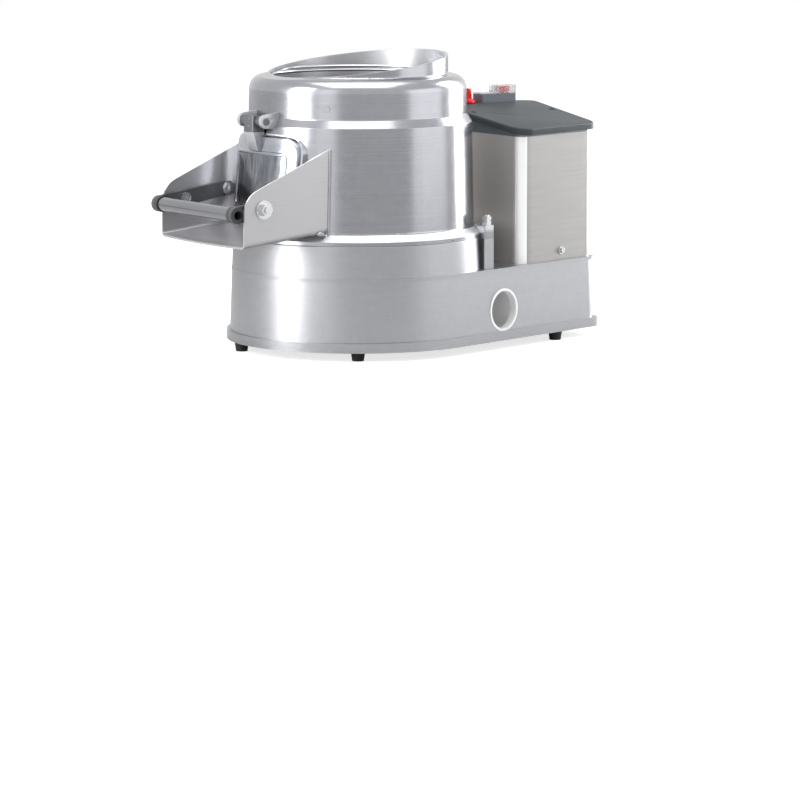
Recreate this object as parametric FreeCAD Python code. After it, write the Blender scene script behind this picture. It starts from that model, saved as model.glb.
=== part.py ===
"""Bench-top potato peeler: cast base, cast vessel, belt drive, discharge door and chute."""
import FreeCAD, Part
import math
import os

V = FreeCAD.Vector
X_AXIS = V(1, 0, 0)
Y_AXIS = V(0, 1, 0)
Z_AXIS = V(0, 0, 1)

# Overall layout, mm. The peeling axis is x = 0, y = 0 while modelling; the floor is z = 0.
# The chute and door face -Y, the motor stands at +Y, the drain leaves on the +X side.
HANDLE_FRONT_Y = -288.0
GLAND_REAR_Y = 388.0
MID_Y = (HANDLE_FRONT_Y + GLAND_REAR_Y) / 2

# Base casting
FOOT_HEIGHT = 13.0
FOOT_SCREW_RADIUS = 1.8
FOOT_PLACES = [(-39, -179), (145, -96), (115, 278), (-115, 278)]
RIM_RADIUS = 195.0
RIM_HEIGHT = 14.0
RIM_REAR_Y = 374.0
BASE_RADIUS = 190.0
BASE_REAR_Y = 366.0
BASE_WALL = 5.0
DRAFT = 0.038
SIDE_ANGLE = math.radians(15)
DECK_TOP = 119.0
DECK_REAR_Y = 371.0
TOWER_TOP = 166.0
TUB_RADIUS = 172.0
TUB_FLOOR = 104.0
BOSS_RADIUS = 36.0
BOSS_TOP = 128.0
BOSS_BOTTOM = 68.0

# Flange clamp posts, one each side of the tower
POST_X0 = 126.0
POST_X1 = 146.0
POST_Y0 = 125.6
POST_Y1 = 142.4
POST_TOP = 163.0
STUD_X = 139.5
STUD_Y = 134.0
STUD_RADIUS = 4.0
STUD_DEPTH = 20.0

# Drain sleeve, square to the near side wall
DRAIN_X = 153.8
DRAIN_Y = 155.5
DRAIN_Z = 57.5
DRAIN_RADIUS = 31.5
DRAIN_BORE = 28.0
DUCT_HALF_WIDTH = 34.0
DUCT_DEPTH = 88.0

# Vessel casting
VESSEL_WALL = 4.5
FLANGE_RADIUS = 184.7
WALL_FOOT_RADIUS = 171.0
WALL_FOOT_Z = 180.5
STEP_Z = 333.0
STEP_RADIUS = 168.0
UPPER_Z = 345.0
UPPER_RADIUS = 160.7
SHOULDER_Z = 402.0
SHOULDER_RADIUS = 159.4
NECK_RADIUS = 133.0
NECK_MID_Z = 417.5
NECK_TILT = 6.9
PLUG_ANGLE = math.radians(-50)
PLUG_Z = 361.0
PLUG_RADIUS = 6.0

# Door frame and door, leaning 5.6 degrees so that the foot stands further forward
DOOR_TILT = 5.6
SEAT_Y = -152.0
SEAT_Z = 303.0
FRAME_HALF = 88.0
FRAME_BOTTOM = 190.0
FRAME_TOP = 321.0
FRAME_CORNER = 27.0
FRAME_WALL = 6.0
OPENING_HALF = 62.0
OPENING_BOTTOM = 207.0
OPENING_TOP = 300.0
DOOR_HALF = 82.5
DOOR_BOTTOM = 198.0
DOOR_TOP = 317.0
DOOR_CORNER = 24.0
DOOR_FLANGE = 3.7
DOOR_RISE = 10.5
RIM_HALF = 67.0
RIM_BOTTOM = 211.0
RIM_TOP = 295.0
RIM_CORNER = 10.0
DOOR_GAP = 0.3
HINGE_Y = -179.0
HINGE_Z = 340.0
PIN_RADIUS = 5.0
EAR_INNER = 26.5
EAR_OUTER = 32.5

# Chute, folded from 3 mm sheet
CHUTE_HALF = 115.0
SHEET = 3.0
MOUTH_Y = -268.0
MOUTH_BOW = 6.0
CHUTE_FLOOR_FRONT = 168.0
CHUTE_SLOPE = 6.2
CHUTE_LIP_Z = 241.5
CHUTE_TOP_SLOPE = 23.5

# Bail handle
PIVOT_Y = -235.7
PIVOT_Z = 223.5
TUBE_Y = -276.0
TUBE_Z = 217.0
ARM_REAR_Y = -160.0
ARM_REAR_Z = 234.0
ARM_INNER = 104.7
ARM_OUTER = 109.3
ARM_HALF_DEPTH = 10.0
BUSH_RADIUS = 12.0

# Motor housing and cover, with the inlet gland low on the rear sheet
GLAND_X = -45.0
GLAND_Z = 150.0
GLAND_BORE = 4.5
GLAND_THREAD = 7.8
HOUSING_FRONT_Y = 203.0
HOUSING_FRONT_HALF = 132.0
HOUSING_REAR_Y = 368.0
HOUSING_REAR_HALF = 85.0
HOUSING_SHEET = 1.5
COVER_OVERHANG = 5.0
COVER_LIP = 9.5
COVER_SKIN = 3.0
COVER_EDGE_Z = 319.3
RIDGE_X = -66.0
RIDGE_Z = 344.0
SIDE_SCREW_Y = 294.0
SIDE_SCREW_Z = 133.0
COVER_SCREW_X = -6.0
COVER_SCREW_YS = (212.0, 358.0)
WELL_RADIUS = 4.6
WELL_DEPTH = 7.0

# Controls on the flat strip beyond the ridge
KNOB_X = -86.0
KNOB_Y = 248.0
SWITCH_X = -83.0
SWITCH_HALF = 13.0
SWITCH_Y0 = 273.0
SWITCH_Y1 = 338.0
SWITCH_TOP = 357.0
START_Y = 289.0
STOP_Y = 321.5

# Drive
SHAFT_RADIUS = 12.5
BEARING_RADIUS = 26.0
BEARING_WIDTH = 15.0
MOTOR_Y = 290.0
DRIVEN_RADIUS = 85.0
MOTOR_PULLEY_RADIUS = 22.0
BELT_Z = 38.0
BELT_WIDTH = 14.0
PLATE_RADIUS = 160.0
PLATE_Z = 182.0


def on_xy(z):
    """Placer for outlines drawn in plan at height z."""
    return lambda p: V(p.x, p.y, z)


def on_xz(y):
    """Placer for outlines drawn as x and z, facing -Y."""
    return lambda p: V(p.x, y, p.y)


def on_yz(x):
    """Placer for outlines drawn as y and z, seen from the side."""
    return lambda p: V(x, p.x, p.y)


def rounded_corner(before, corner, after, radius):
    """Start, middle and end of the arc that rounds one corner."""
    back = (before - corner).normalize()
    ahead = (after - corner).normalize()
    half = back.getAngle(ahead) / 2
    cut = radius / math.tan(half)
    middle = corner + (back + ahead).normalize() * (radius / math.sin(half) - radius)
    return corner + back * cut, middle, corner + ahead * cut


def outline(points, place):
    """Closed wire through (u, v, radius) corners."""
    flat = [V(u, v, 0) for u, v, radius in points]
    joins = []
    for i, (u, v, radius) in enumerate(points):
        if radius > 0:
            joins.append(rounded_corner(flat[i - 1], flat[i], flat[(i + 1) % len(flat)], radius))
        else:
            joins.append((flat[i], None, flat[i]))
    edges = []
    for i, (start, middle, end) in enumerate(joins):
        if middle is not None:
            edges.append(Part.Arc(place(start), place(middle), place(end)).toShape())
        following = joins[(i + 1) % len(joins)][0]
        if (following - end).Length > 1e-6:
            edges.append(Part.makeLine(place(end), place(following)))
    return Part.Wire(edges)


def prism(wire, direction):
    """Solid made by moving a closed outline along a direction."""
    return Part.Face(wire).extrude(direction)


def ring_of(profile):
    """Solid made by turning (radius, z, corner radius) points about the peeling axis."""
    return Part.Face(outline(profile, on_xz(0))).revolve(V(0, 0, 0), Z_AXIS, 360)


def disc(radius, z0, z1, x=0, y=0):
    """Upright cylinder between two heights."""
    return Part.makeCylinder(radius, z1 - z0, V(x, y, z0), Z_AXIS)


def bar(radius, start, end):
    """Round bar between two points."""
    return Part.makeCylinder(radius, (end - start).Length, start, end - start)


def block(x0, x1, y0, y1, z0, z1):
    """Box between opposite corners."""
    return Part.makeBox(x1 - x0, y1 - y0, z1 - z0, V(x0, y0, z0))


def hexagon(across_flats, start, end):
    """Hexagonal bar between two points, for nuts and bolt heads."""
    along = end - start
    side = along.cross(Z_AXIS if abs(along.z) < 0.9 * along.Length else X_AXIS).normalize()
    corners = []
    for i in range(6):
        turn = FreeCAD.Rotation(along, 60 * i)
        corners.append(start + turn.multVec(side) * (across_flats / math.sqrt(3)))
    return prism(Part.makePolygon(corners + corners[:1]), along)


def washer(radius, bore, start, end):
    """Flat ring between two points on its axis."""
    return bar(radius, start, end).cut(bar(bore, start, end))


def mirrored(shape):
    """The same shape on the other side of the plane of symmetry."""
    return shape.mirror(V(0, 0, 0), X_AXIS)


def pair(shape):
    """A piece and its mirror image, as two solids."""
    return [shape, mirrored(shape)]


def save(node, shapes):
    """Write one node, moved so that the middle of the machine's length is the origin."""
    solids = shapes if isinstance(shapes, list) else [shapes]
    moved = Part.makeCompound(solids) if len(solids) > 1 else solids[0].copy()
    moved.translate(V(0, -MID_Y, 0))
    moved.exportStep("parts/" + node + ".step")


def teardrop(radius, rear_y, z, corner=20.0):
    """Plan outline: round in front, two converging tangent sides, straight across the rear."""
    tangent = V(radius * math.cos(SIDE_ANGLE), radius * math.sin(SIDE_ANGLE), 0)
    rear = V(radius / math.cos(SIDE_ANGLE) - rear_y * math.tan(SIDE_ANGLE), rear_y, 0)
    other = V(-rear.x, rear.y, 0)
    start, middle, end = rounded_corner(tangent, rear, other, corner)

    def flip(p):
        return V(-p.x, p.y, 0)

    put = on_xy(z)
    edges = [
        Part.Arc(put(flip(tangent)), put(V(0, -radius, 0)), put(tangent)).toShape(),
        Part.makeLine(put(tangent), put(start)),
        Part.Arc(put(start), put(middle), put(end)).toShape(),
        Part.makeLine(put(end), put(flip(end))),
        Part.Arc(put(flip(end)), put(flip(middle)), put(flip(start))).toShape(),
        Part.makeLine(put(flip(start)), put(flip(tangent))),
    ]
    return Part.Wire(edges)


def drafted(radius, rear_y, z0, z1):
    """Teardrop body whose wall leans in with the casting draft."""
    shrink = DRAFT * (z1 - z0)
    lower = teardrop(radius, rear_y, z0)
    upper = teardrop(radius - shrink, rear_y - shrink / 4, z1)
    return Part.makeLoft([lower, upper], True, True)


def drain_frame(depth, side, z):
    """Point inside the near side wall: depth inwards, side to the rear, height z."""
    inward = V(-math.cos(SIDE_ANGLE), -math.sin(SIDE_ANGLE), 0)
    along = V(-math.sin(SIDE_ANGLE), math.cos(SIDE_ANGLE), 0)
    return V(DRAIN_X, DRAIN_Y, z) + inward * depth + along * side


def drain_duct(half_width, near, far, z0, z1):
    """Box square to the near side wall, between two depths and two heights."""
    corners = [
        drain_frame(near, -half_width, z0),
        drain_frame(far, -half_width, z0),
        drain_frame(far, half_width, z0),
        drain_frame(near, half_width, z0),
    ]
    return prism(Part.makePolygon(corners + corners[:1]), V(0, 0, z1 - z0))


def tower_radius(z):
    """Outer radius of the base wall at a height."""
    return BASE_RADIUS - DRAFT * (z - FOOT_HEIGHT - RIM_HEIGHT)


def base_casting():
    """Cast aluminium base: drafted wall, bottom rim, deck, tower, waste tub, boss and duct."""
    wall_foot = FOOT_HEIGHT + RIM_HEIGHT
    rim = prism(teardrop(RIM_RADIUS, RIM_REAR_Y, FOOT_HEIGHT), V(0, 0, RIM_HEIGHT))
    body = drafted(BASE_RADIUS, BASE_REAR_Y, wall_foot, DECK_TOP - BASE_WALL)
    deck = prism(
        teardrop(tower_radius(DECK_TOP) + 0.8, DECK_REAR_Y, DECK_TOP - BASE_WALL),
        V(0, 0, BASE_WALL),
    )
    tower = ring_of([
        (0, DECK_TOP - BASE_WALL, 0),
        (tower_radius(DECK_TOP - BASE_WALL), DECK_TOP - BASE_WALL, 0),
        (tower_radius(TOWER_TOP), TOWER_TOP, 1.5),
        (0, TOWER_TOP, 0),
    ])
    outside = rim.fuse([body, deck, tower])
    hollow_low = prism(
        teardrop(BASE_RADIUS - BASE_WALL, BASE_REAR_Y - BASE_WALL, FOOT_HEIGHT - 1),
        V(0, 0, RIM_HEIGHT + 1.5),
    )
    hollow_body = drafted(
        BASE_RADIUS - BASE_WALL, BASE_REAR_Y - BASE_WALL, wall_foot, DECK_TOP - BASE_WALL
    )
    hollow_tower = ring_of([
        (0, DECK_TOP - BASE_WALL - 1, 0),
        (tower_radius(DECK_TOP) - BASE_WALL, DECK_TOP - BASE_WALL - 1, 0),
        (tower_radius(TOWER_TOP) - BASE_WALL, TOWER_TOP - 8, 0),
        (0, TOWER_TOP - 8, 0),
    ])
    hollow = hollow_low.fuse([hollow_body, hollow_tower])
    casting = outside.cut(hollow)

    tub = ring_of([
        (SHAFT_RADIUS + 2, TUB_FLOOR, 0),
        (TUB_RADIUS + BASE_WALL, TUB_FLOOR, 0),
        (TUB_RADIUS + BASE_WALL, TOWER_TOP - 4, 0),
        (SHAFT_RADIUS + 2, TOWER_TOP - 4, 0),
    ])
    tub_inside = ring_of([
        (0, TUB_FLOOR + BASE_WALL, 0),
        (TUB_RADIUS, TUB_FLOOR + BASE_WALL, 6),
        (TUB_RADIUS, TOWER_TOP + 1, 0),
        (0, TOWER_TOP + 1, 0),
    ])
    ribs = []
    for i in range(6):
        rib = block(BOSS_RADIUS - 4, TUB_RADIUS + 8, -2.5, 2.5, TUB_FLOOR - 16, TUB_FLOOR + 1)
        rib.rotate(V(0, 0, 0), Z_AXIS, 60 * i + 90)
        ribs.append(rib)
    duct = drain_duct(DUCT_HALF_WIDTH, 2, DUCT_DEPTH, 24, TUB_FLOOR + 4)
    duct_inside = drain_duct(
        DUCT_HALF_WIDTH - 4, BASE_WALL, DUCT_DEPTH - 4, 28, TUB_FLOOR + BASE_WALL + 1
    )
    boss = disc(BOSS_RADIUS, BOSS_BOTTOM, BOSS_TOP)
    casting = casting.fuse([tub] + ribs + [duct]).cut(tub_inside).fuse(boss)
    inside_tub = disc(TUB_RADIUS, TUB_FLOOR - 1, TOWER_TOP)
    below_floor = drain_duct(DUCT_HALF_WIDTH - 4, BASE_WALL, DUCT_DEPTH - 4, 28, TUB_FLOOR)
    through_floor = duct_inside.common(inside_tub)
    casting = casting.cut(below_floor).cut(through_floor)

    sleeve_hole = bar(
        DRAIN_RADIUS, drain_frame(-12, 0, DRAIN_Z), drain_frame(BASE_WALL + 6, 0, DRAIN_Z)
    )
    bearing_bore = disc(BEARING_RADIUS, BOSS_BOTTOM - 1, BOSS_BOTTOM + 54)
    seal_bore = disc(BEARING_RADIUS - 2, BOSS_BOTTOM + 53, BOSS_TOP + 1)
    motor_hole = disc(32, DECK_TOP - BASE_WALL - 1, DECK_TOP + 1, 0, MOTOR_Y)
    casting = casting.cut([sleeve_hole, bearing_bore, seal_bore, motor_hole])
    return casting.fuse(clamp_post() + foot_pads()).removeSplitter()


def foot_pads():
    """Bosses inside the rim that take the foot screws."""
    top = FOOT_HEIGHT + RIM_HEIGHT
    pads = []
    for x, y in FOOT_PLACES:
        hole = disc(FOOT_SCREW_RADIUS, FOOT_HEIGHT - 1, top - 5, x, y)
        pads.append(disc(11.5, FOOT_HEIGHT, top, x, y).cut(hole))
    return pads


def clamp_post():
    """Square posts cast on the deck beside the tower, one each side."""
    post = block(POST_X0, POST_X1, POST_Y0, POST_Y1, DECK_TOP - 1, POST_TOP)
    post = post.cut(disc(TUB_RADIUS + BASE_WALL, DECK_TOP - 2, POST_TOP + 1))
    hole = disc(STUD_RADIUS, POST_TOP - STUD_DEPTH, POST_TOP + 1, STUD_X, STUD_Y)
    return pair(post.cut(hole))


def bottom_plate():
    """Sheet that closes the underside, set inside the rim."""
    sheet = prism(teardrop(BASE_RADIUS - BASE_WALL - 1, BASE_REAR_Y - 6, FOOT_HEIGHT), V(0, 0, 1.5))
    clear = [disc(11.8, FOOT_HEIGHT - 1, FOOT_HEIGHT + 2, x, y) for x, y in FOOT_PLACES]
    return sheet.cut(clear)


def rubber_feet():
    """Tapered rubber feet."""
    feet = []
    for x, y in FOOT_PLACES:
        foot = Part.makeCone(8.5, 10.5, FOOT_HEIGHT, V(x, y, 0), Z_AXIS)
        hole = disc(FOOT_SCREW_RADIUS, 0, FOOT_HEIGHT + 1, x, y)
        feet.append(foot.cut([disc(4, -1, 4, x, y), hole]))
    return feet


def foot_screws():
    """Pan-head screws up through the feet."""
    screws = []
    for x, y in FOOT_PLACES:
        screws.append(disc(3.6, 2, 4, x, y).fuse(disc(FOOT_SCREW_RADIUS, 4, 20, x, y)))
    return screws


def drain_sleeve():
    """Plastic pipe stub in the near side wall."""
    outer = bar(DRAIN_RADIUS, drain_frame(-0.8, 0, DRAIN_Z), drain_frame(BASE_WALL + 6, 0, DRAIN_Z))
    bore = bar(DRAIN_BORE, drain_frame(-2, 0, DRAIN_Z), drain_frame(BASE_WALL + 8, 0, DRAIN_Z))
    return outer.cut(bore)


def vessel_envelope():
    """Outer form of the vessel as one closed solid, for trimming what meets it."""
    return ring_of([(0, TOWER_TOP, 0)] + vessel_outside() + [(0, NECK_MID_Z + 30, 0)])


def vessel_outside():
    """Outer profile from the flange up to the neck."""
    return [
        (FLANGE_RADIUS, TOWER_TOP, 0),
        (FLANGE_RADIUS, TOWER_TOP + 5.5, 0),
        (WALL_FOOT_RADIUS, WALL_FOOT_Z, 5),
        (STEP_RADIUS, STEP_Z, 2),
        (UPPER_RADIUS, UPPER_Z, 4),
        (SHOULDER_RADIUS, SHOULDER_Z, 20),
        (NECK_RADIUS, SHOULDER_Z, 3),
        (NECK_RADIUS, NECK_MID_Z + 30, 0),
    ]


def vessel_inside():
    """Inner profile from the neck down to the flange."""
    return [
        (NECK_RADIUS - 4, NECK_MID_Z + 30, 0),
        (NECK_RADIUS - 4, SHOULDER_Z - VESSEL_WALL, 3),
        (SHOULDER_RADIUS - VESSEL_WALL, SHOULDER_Z - VESSEL_WALL, 16),
        (UPPER_RADIUS - VESSEL_WALL, UPPER_Z - 2, 0),
        (STEP_RADIUS - VESSEL_WALL, STEP_Z - 2, 0),
        (WALL_FOOT_RADIUS - VESSEL_WALL - 0.5, WALL_FOOT_Z, 0),
        (WALL_FOOT_RADIUS - VESSEL_WALL - 0.5, TOWER_TOP, 0),
    ]


def vessel_room():
    """Room inside the vessel as one closed solid."""
    return ring_of([(0, NECK_MID_Z + 30, 0)] + vessel_inside() + [(0, TOWER_TOP, 0)])


def plug_bar(inner, outer):
    """Radial bar on the line of the wall plug."""
    out = V(math.cos(PLUG_ANGLE), math.sin(PLUG_ANGLE), 0)
    level = V(0, 0, PLUG_Z)
    return bar(PLUG_RADIUS, level + out * inner, level + out * outer)


def tilted(shape):
    """Lean a piece of the door or its frame to the seat's angle."""
    leaned = shape.copy()
    leaned.rotate(V(0, SEAT_Y, SEAT_Z), X_AXIS, -DOOR_TILT)
    return leaned


def face_outline(half, bottom, top, corner, y):
    """Rounded rectangle facing -Y."""
    points = [(half, bottom, corner), (half, top, corner), (-half, top, corner), (-half, bottom, corner)]
    return outline(points, on_xz(y))


def window(half, bottom, top, corner, y0, y1):
    """Rounded rectangular block facing -Y, between two depths."""
    return prism(face_outline(half, bottom, top, corner, y0), V(0, y1 - y0, 0))


def frame_block(inset, y0, y1):
    """Leaning block of the door frame's outline, or one drawn inside it."""
    return tilted(window(
        FRAME_HALF - inset, FRAME_BOTTOM + inset, FRAME_TOP - inset, FRAME_CORNER - inset, y0, y1
    ))


def vessel_casting():
    """Turned and cast drum with flange, step, shoulder and an obliquely cut filling neck."""
    drum = ring_of(vessel_outside() + vessel_inside())
    above = block(-200, 200, -200, 200, 0, 80)
    above.rotate(V(0, 0, 0), X_AXIS, NECK_TILT)
    above.translate(V(0, 0, NECK_MID_Z))
    plug_hole = plug_bar(UPPER_RADIUS - 10, UPPER_RADIUS + 5)
    return drum.cut([above, frame_block(0, -200, -110), plug_hole])


def door_frame():
    """Cast frame let into the wall: cheeks, flat seat, pocket and discharge opening."""
    proud = frame_block(0, -200, SEAT_Y + FRAME_WALL).common(vessel_envelope())
    seat = frame_block(0, SEAT_Y, SEAT_Y + FRAME_WALL)
    cheeks = frame_block(0, SEAT_Y, -110).cut([frame_block(FRAME_WALL, SEAT_Y - 1, -100), vessel_room()])
    pocket = tilted(window(DOOR_HALF + 1.5, DOOR_BOTTOM - 2.5, DOOR_TOP + 1.5, 25, -200, SEAT_Y))
    opening = tilted(window(OPENING_HALF, OPENING_BOTTOM, OPENING_TOP, 12, -201, SEAT_Y + 20))
    groove = gasket_ring(SEAT_Y - 1, SEAT_Y + 1.2, 0.4)
    return proud.fuse([seat, cheeks]).cut([pocket, opening, groove]).removeSplitter()


def gasket_ring(y0, y1, extra=0.0):
    """Rounded rectangular ring round the opening, leaning with the seat."""
    outer = window(72 + extra, 202 - extra, 309 + extra, 15, y0, y1)
    inner = window(67 - extra, 204.5 + extra / 2, 304 - extra, 12, y0 - 1, y1 + 1)
    return tilted(outer.cut(inner))


def door_gasket():
    """Rubber seal in the frame's groove, just clear of the closed door."""
    return gasket_ring(SEAT_Y - 0.1, SEAT_Y + 1.2)


def door_form():
    """Outer form of the upright door: flange, then a shoulder sloping up to the raised rim."""
    back = SEAT_Y - DOOR_GAP
    flange_front = back - DOOR_FLANGE
    foot = face_outline(DOOR_HALF, DOOR_BOTTOM, DOOR_TOP, DOOR_CORNER, flange_front)
    crest = face_outline(RIM_HALF, RIM_BOTTOM, RIM_TOP, RIM_CORNER, flange_front - DOOR_RISE)
    flange = window(DOOR_HALF, DOOR_BOTTOM, DOOR_TOP, DOOR_CORNER, flange_front, back)
    return flange.fuse(Part.makeLoft([foot, crest], True, True))


def door_pan():
    """Cast aluminium door: flange, sloped shoulder, raised rim and a deep recessed panel."""
    back = SEAT_Y - DOOR_GAP
    plug = window(OPENING_HALF - 2, OPENING_BOTTOM + 3, OPENING_TOP - 2, 10, back - 1, SEAT_Y + 6)
    recess = window(RIM_HALF - 5, RIM_BOTTOM + 5, RIM_TOP - 4, 7, back - 20, SEAT_Y + 1.5)
    mark = hexagon(15, V(0, SEAT_Y - 0.5, 262), V(0, SEAT_Y + 2, 262))
    return tilted(door_form().fuse(plug).cut(recess).fuse(mark).removeSplitter())


def hinge_strap():
    """Bent strap from the hinge knuckle down onto the door's shoulder."""
    side = [
        (HINGE_Y - 8.5, HINGE_Z, 0), (HINGE_Y - 8.5, 326, 4),
        (-172.5, 297, 0), (-168.6, 296.6, 0), (-160.5, 312, 0),
        (-171.5, 316.5, 2), (-171.5, 330, 3), (HINGE_Y + 8.5, HINGE_Z, 0),
    ]
    strap = prism(outline(side, on_yz(-13)), V(26, 0, 0))
    end = EAR_INNER - 0.6
    knuckle = bar(8.5, V(-end, HINGE_Y, HINGE_Z), V(end, HINGE_Y, HINGE_Z))
    bore = bar(PIN_RADIUS + 0.05, V(-40, HINGE_Y, HINGE_Z), V(40, HINGE_Y, HINGE_Z))
    waist = washer(12, 7.2, V(-end - 1, HINGE_Y, HINGE_Z), V(-15, HINGE_Y, HINGE_Z))
    return strap.fuse(knuckle).cut([bore] + pair(waist) + [tilted(door_form())]).removeSplitter()


def strap_rivets():
    """Two dome rivets through the upright part of the strap."""
    rivets = []
    for x in (-6, 6):
        head = bar(2.6, V(x, HINGE_Y - 9.9, 329), V(x, HINGE_Y - 8.5, 329))
        rivets.append(head)
    return rivets


def hinge_ears():
    """Two lugs with round noses, standing on the vessel wall."""
    side = [
        (HINGE_Y - 9.5, HINGE_Z - 9.5, 9.4), (HINGE_Y - 9.5, HINGE_Z + 9.5, 9.4),
        (-148, 355, 0), (-148, 328, 0), (HINGE_Y + 4, HINGE_Z - 9.5, 6),
    ]
    ear = prism(outline(side, on_yz(EAR_INNER)), V(EAR_OUTER - EAR_INNER, 0, 0))
    ear = ear.cut(hinge_pin())
    return pair(ear.cut([vessel_envelope(), frame_block(0, -200, -110)]))


def hinge_pin():
    """Plain pin through both ears and the knuckle."""
    return bar(PIN_RADIUS, V(-EAR_OUTER - 1, HINGE_Y, HINGE_Z), V(EAR_OUTER + 1, HINGE_Y, HINGE_Z))


def trough_section(inset, y):
    """Open-topped section of the chute, level, with rounded folds."""
    half = CHUTE_HALF - inset
    fold = 8 - inset
    return outline([(-half, 170, 0), (-half, inset, fold), (half, inset, fold), (half, 170, 0)], on_xz(y))


def chute():
    """Folded sheet trough: two cheeks, a sloping floor and a bowed mouth, trimmed to the drum."""
    trough = prism(trough_section(0, 0), V(0, 190, 0)).cut(prism(trough_section(SHEET, -1), V(0, 192, 0)))
    trough.rotate(V(0, 0, 0), X_AXIS, CHUTE_SLOPE)
    start_y = MOUTH_Y - 20
    fall = math.tan(math.radians(CHUTE_SLOPE)) * (MOUTH_Y - start_y)
    trough.translate(V(0, start_y, CHUTE_FLOOR_FRONT - fall))
    trough = trough.common(chute_plan()).common(chute_cheeks())
    hole = bar(PIN_RADIUS, pivot_point(100), pivot_point(120))
    return trough.cut([vessel_envelope()] + pair(hole))


def chute_plan():
    """Plan limit of the chute, with its mouth bowed forward."""
    half = CHUTE_HALF + 2
    left = V(-half, MOUTH_Y, 100)
    right = V(half, MOUTH_Y, 100)
    edges = [
        Part.Arc(right, V(0, MOUTH_Y - MOUTH_BOW, 100), left).toShape(),
        Part.makeLine(left, V(-half, -100, 100)),
        Part.makeLine(V(-half, -100, 100), V(half, -100, 100)),
        Part.makeLine(V(half, -100, 100), right),
    ]
    return prism(Part.Wire(edges), V(0, 0, 300))


def chute_cheeks():
    """Side limit of the chute: upright front, rounded brow and sloping top, with the lip of the floor."""
    rise = math.tan(math.radians(CHUTE_TOP_SLOPE))
    half = CHUTE_HALF + 3
    points = [
        (MOUTH_Y, 100, 0), (MOUTH_Y, CHUTE_LIP_Z, 36),
        (-100, CHUTE_LIP_Z + rise * (-100 - MOUTH_Y), 0), (-100, 100, 0),
    ]
    cheek = prism(outline(points, on_yz(-half)), V(2 * half, 0, 0))
    return cheek.fuse(block(-half, half, MOUTH_Y - 20, MOUTH_Y + 1, 100, 200))


def arm_outline(x):
    """Flat arm with round ends, from the bail's cross tube to its rear bolt."""
    front = V(0, TUBE_Y, TUBE_Z)
    rear = V(0, ARM_REAR_Y, ARM_REAR_Z)
    along = (rear - front).normalize()
    up = V(0, -along.z, along.y)
    a = BUSH_RADIUS
    b = ARM_HALF_DEPTH

    def put(p):
        return V(x, p.y, p.z)

    edges = [
        Part.Arc(put(front - up * a), put(front - along * a), put(front + up * a)).toShape(),
        Part.makeLine(put(front + up * a), put(rear + up * b)),
        Part.Arc(put(rear + up * b), put(rear + along * b), put(rear - up * b)).toShape(),
        Part.makeLine(put(rear - up * b), put(front - up * a)),
    ]
    return Part.Wire(edges)


def bail_arms():
    """Two flat arms with pivot, front and rear holes."""
    arm = prism(arm_outline(ARM_INNER), V(ARM_OUTER - ARM_INNER, 0, 0))
    holes = []
    for y, z, radius in (
        (PIVOT_Y, PIVOT_Z, PIN_RADIUS + 0.05), (TUBE_Y, TUBE_Z, 6.5), (ARM_REAR_Y, ARM_REAR_Z, 5)
    ):
        holes.append(bar(radius, V(ARM_INNER - 1, y, z), V(ARM_OUTER + 1, y, z)))
    return pair(arm.cut(holes))


def bail_tube():
    """Hollow cross tube of the bail handle."""
    end = ARM_INNER - 8
    return washer(10.25, 8.0, V(-end, TUBE_Y, TUBE_Z), V(end, TUBE_Y, TUBE_Z))


def bail_bushes():
    """Dark end pieces of the cross tube, inside and outside each arm."""
    pieces = []
    for x0, x1 in ((ARM_INNER - 8, ARM_INNER), (ARM_OUTER, 111.2)):
        pieces += pair(washer(BUSH_RADIUS, 6.5, V(x0, TUBE_Y, TUBE_Z), V(x1, TUBE_Y, TUBE_Z)))
    return pieces


def rear_bolts():
    """Bolt, washer and hex nut in the rear end of each arm."""
    centre = V(0, ARM_REAR_Y, ARM_REAR_Z)

    def along(x):
        return centre + V(x, 0, 0)

    bolt = bar(5, along(ARM_INNER - 10), along(ARM_OUTER))
    bolt = bolt.fuse(bar(10.5, along(ARM_INNER - 2), along(ARM_INNER)))
    bolt = bolt.fuse(hexagon(16, along(ARM_INNER - 8.5), along(ARM_INNER - 2)))
    return pair(bolt)


def pivot_point(x):
    """Point on the bail's pivot axis."""
    return V(x, PIVOT_Y, PIVOT_Z)


def pivot_bolts():
    """Bolts that carry the bail's arms, heads inside."""
    bolt = bar(PIN_RADIUS, pivot_point(ARM_INNER - 1), pivot_point(CHUTE_HALF + 13))
    head = bar(8.5, pivot_point(ARM_INNER - 6), pivot_point(ARM_INNER - 0.4))
    return pair(bolt.fuse(head))


def pivot_washers():
    """Spacer inside and large washer outside each cheek."""
    spacer = washer(11, PIN_RADIUS, pivot_point(ARM_OUTER + 0.4), pivot_point(CHUTE_HALF - SHEET))
    outer = washer(13.5, PIN_RADIUS, pivot_point(CHUTE_HALF), pivot_point(CHUTE_HALF + 2))
    return pair(spacer) + pair(outer)


def pivot_nuts():
    """Hex nuts outside the cheeks."""
    nut = hexagon(16, pivot_point(CHUTE_HALF + 2), pivot_point(CHUTE_HALF + 10))
    nut = nut.cut(bar(PIN_RADIUS, pivot_point(CHUTE_HALF), pivot_point(CHUTE_HALF + 14)))
    return pair(nut)


def clamp_hooks():
    """Cast hooks that hold the vessel flange down on the posts."""
    hook = block(POST_X0 - 6, POST_X1, POST_Y0, POST_Y1, POST_TOP, POST_TOP + 20)
    hook = hook.cut([
        vessel_envelope(),
        disc(tower_radius(TOWER_TOP) + 0.5, POST_TOP - 1, TOWER_TOP),
        disc(STUD_RADIUS, POST_TOP - 1, POST_TOP + 21, STUD_X, STUD_Y),
    ])
    return pair(hook)


def clamp_studs():
    """Studs that draw the hooks down."""
    return pair(disc(STUD_RADIUS, POST_TOP - STUD_DEPTH, POST_TOP + 35, STUD_X, STUD_Y))


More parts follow.
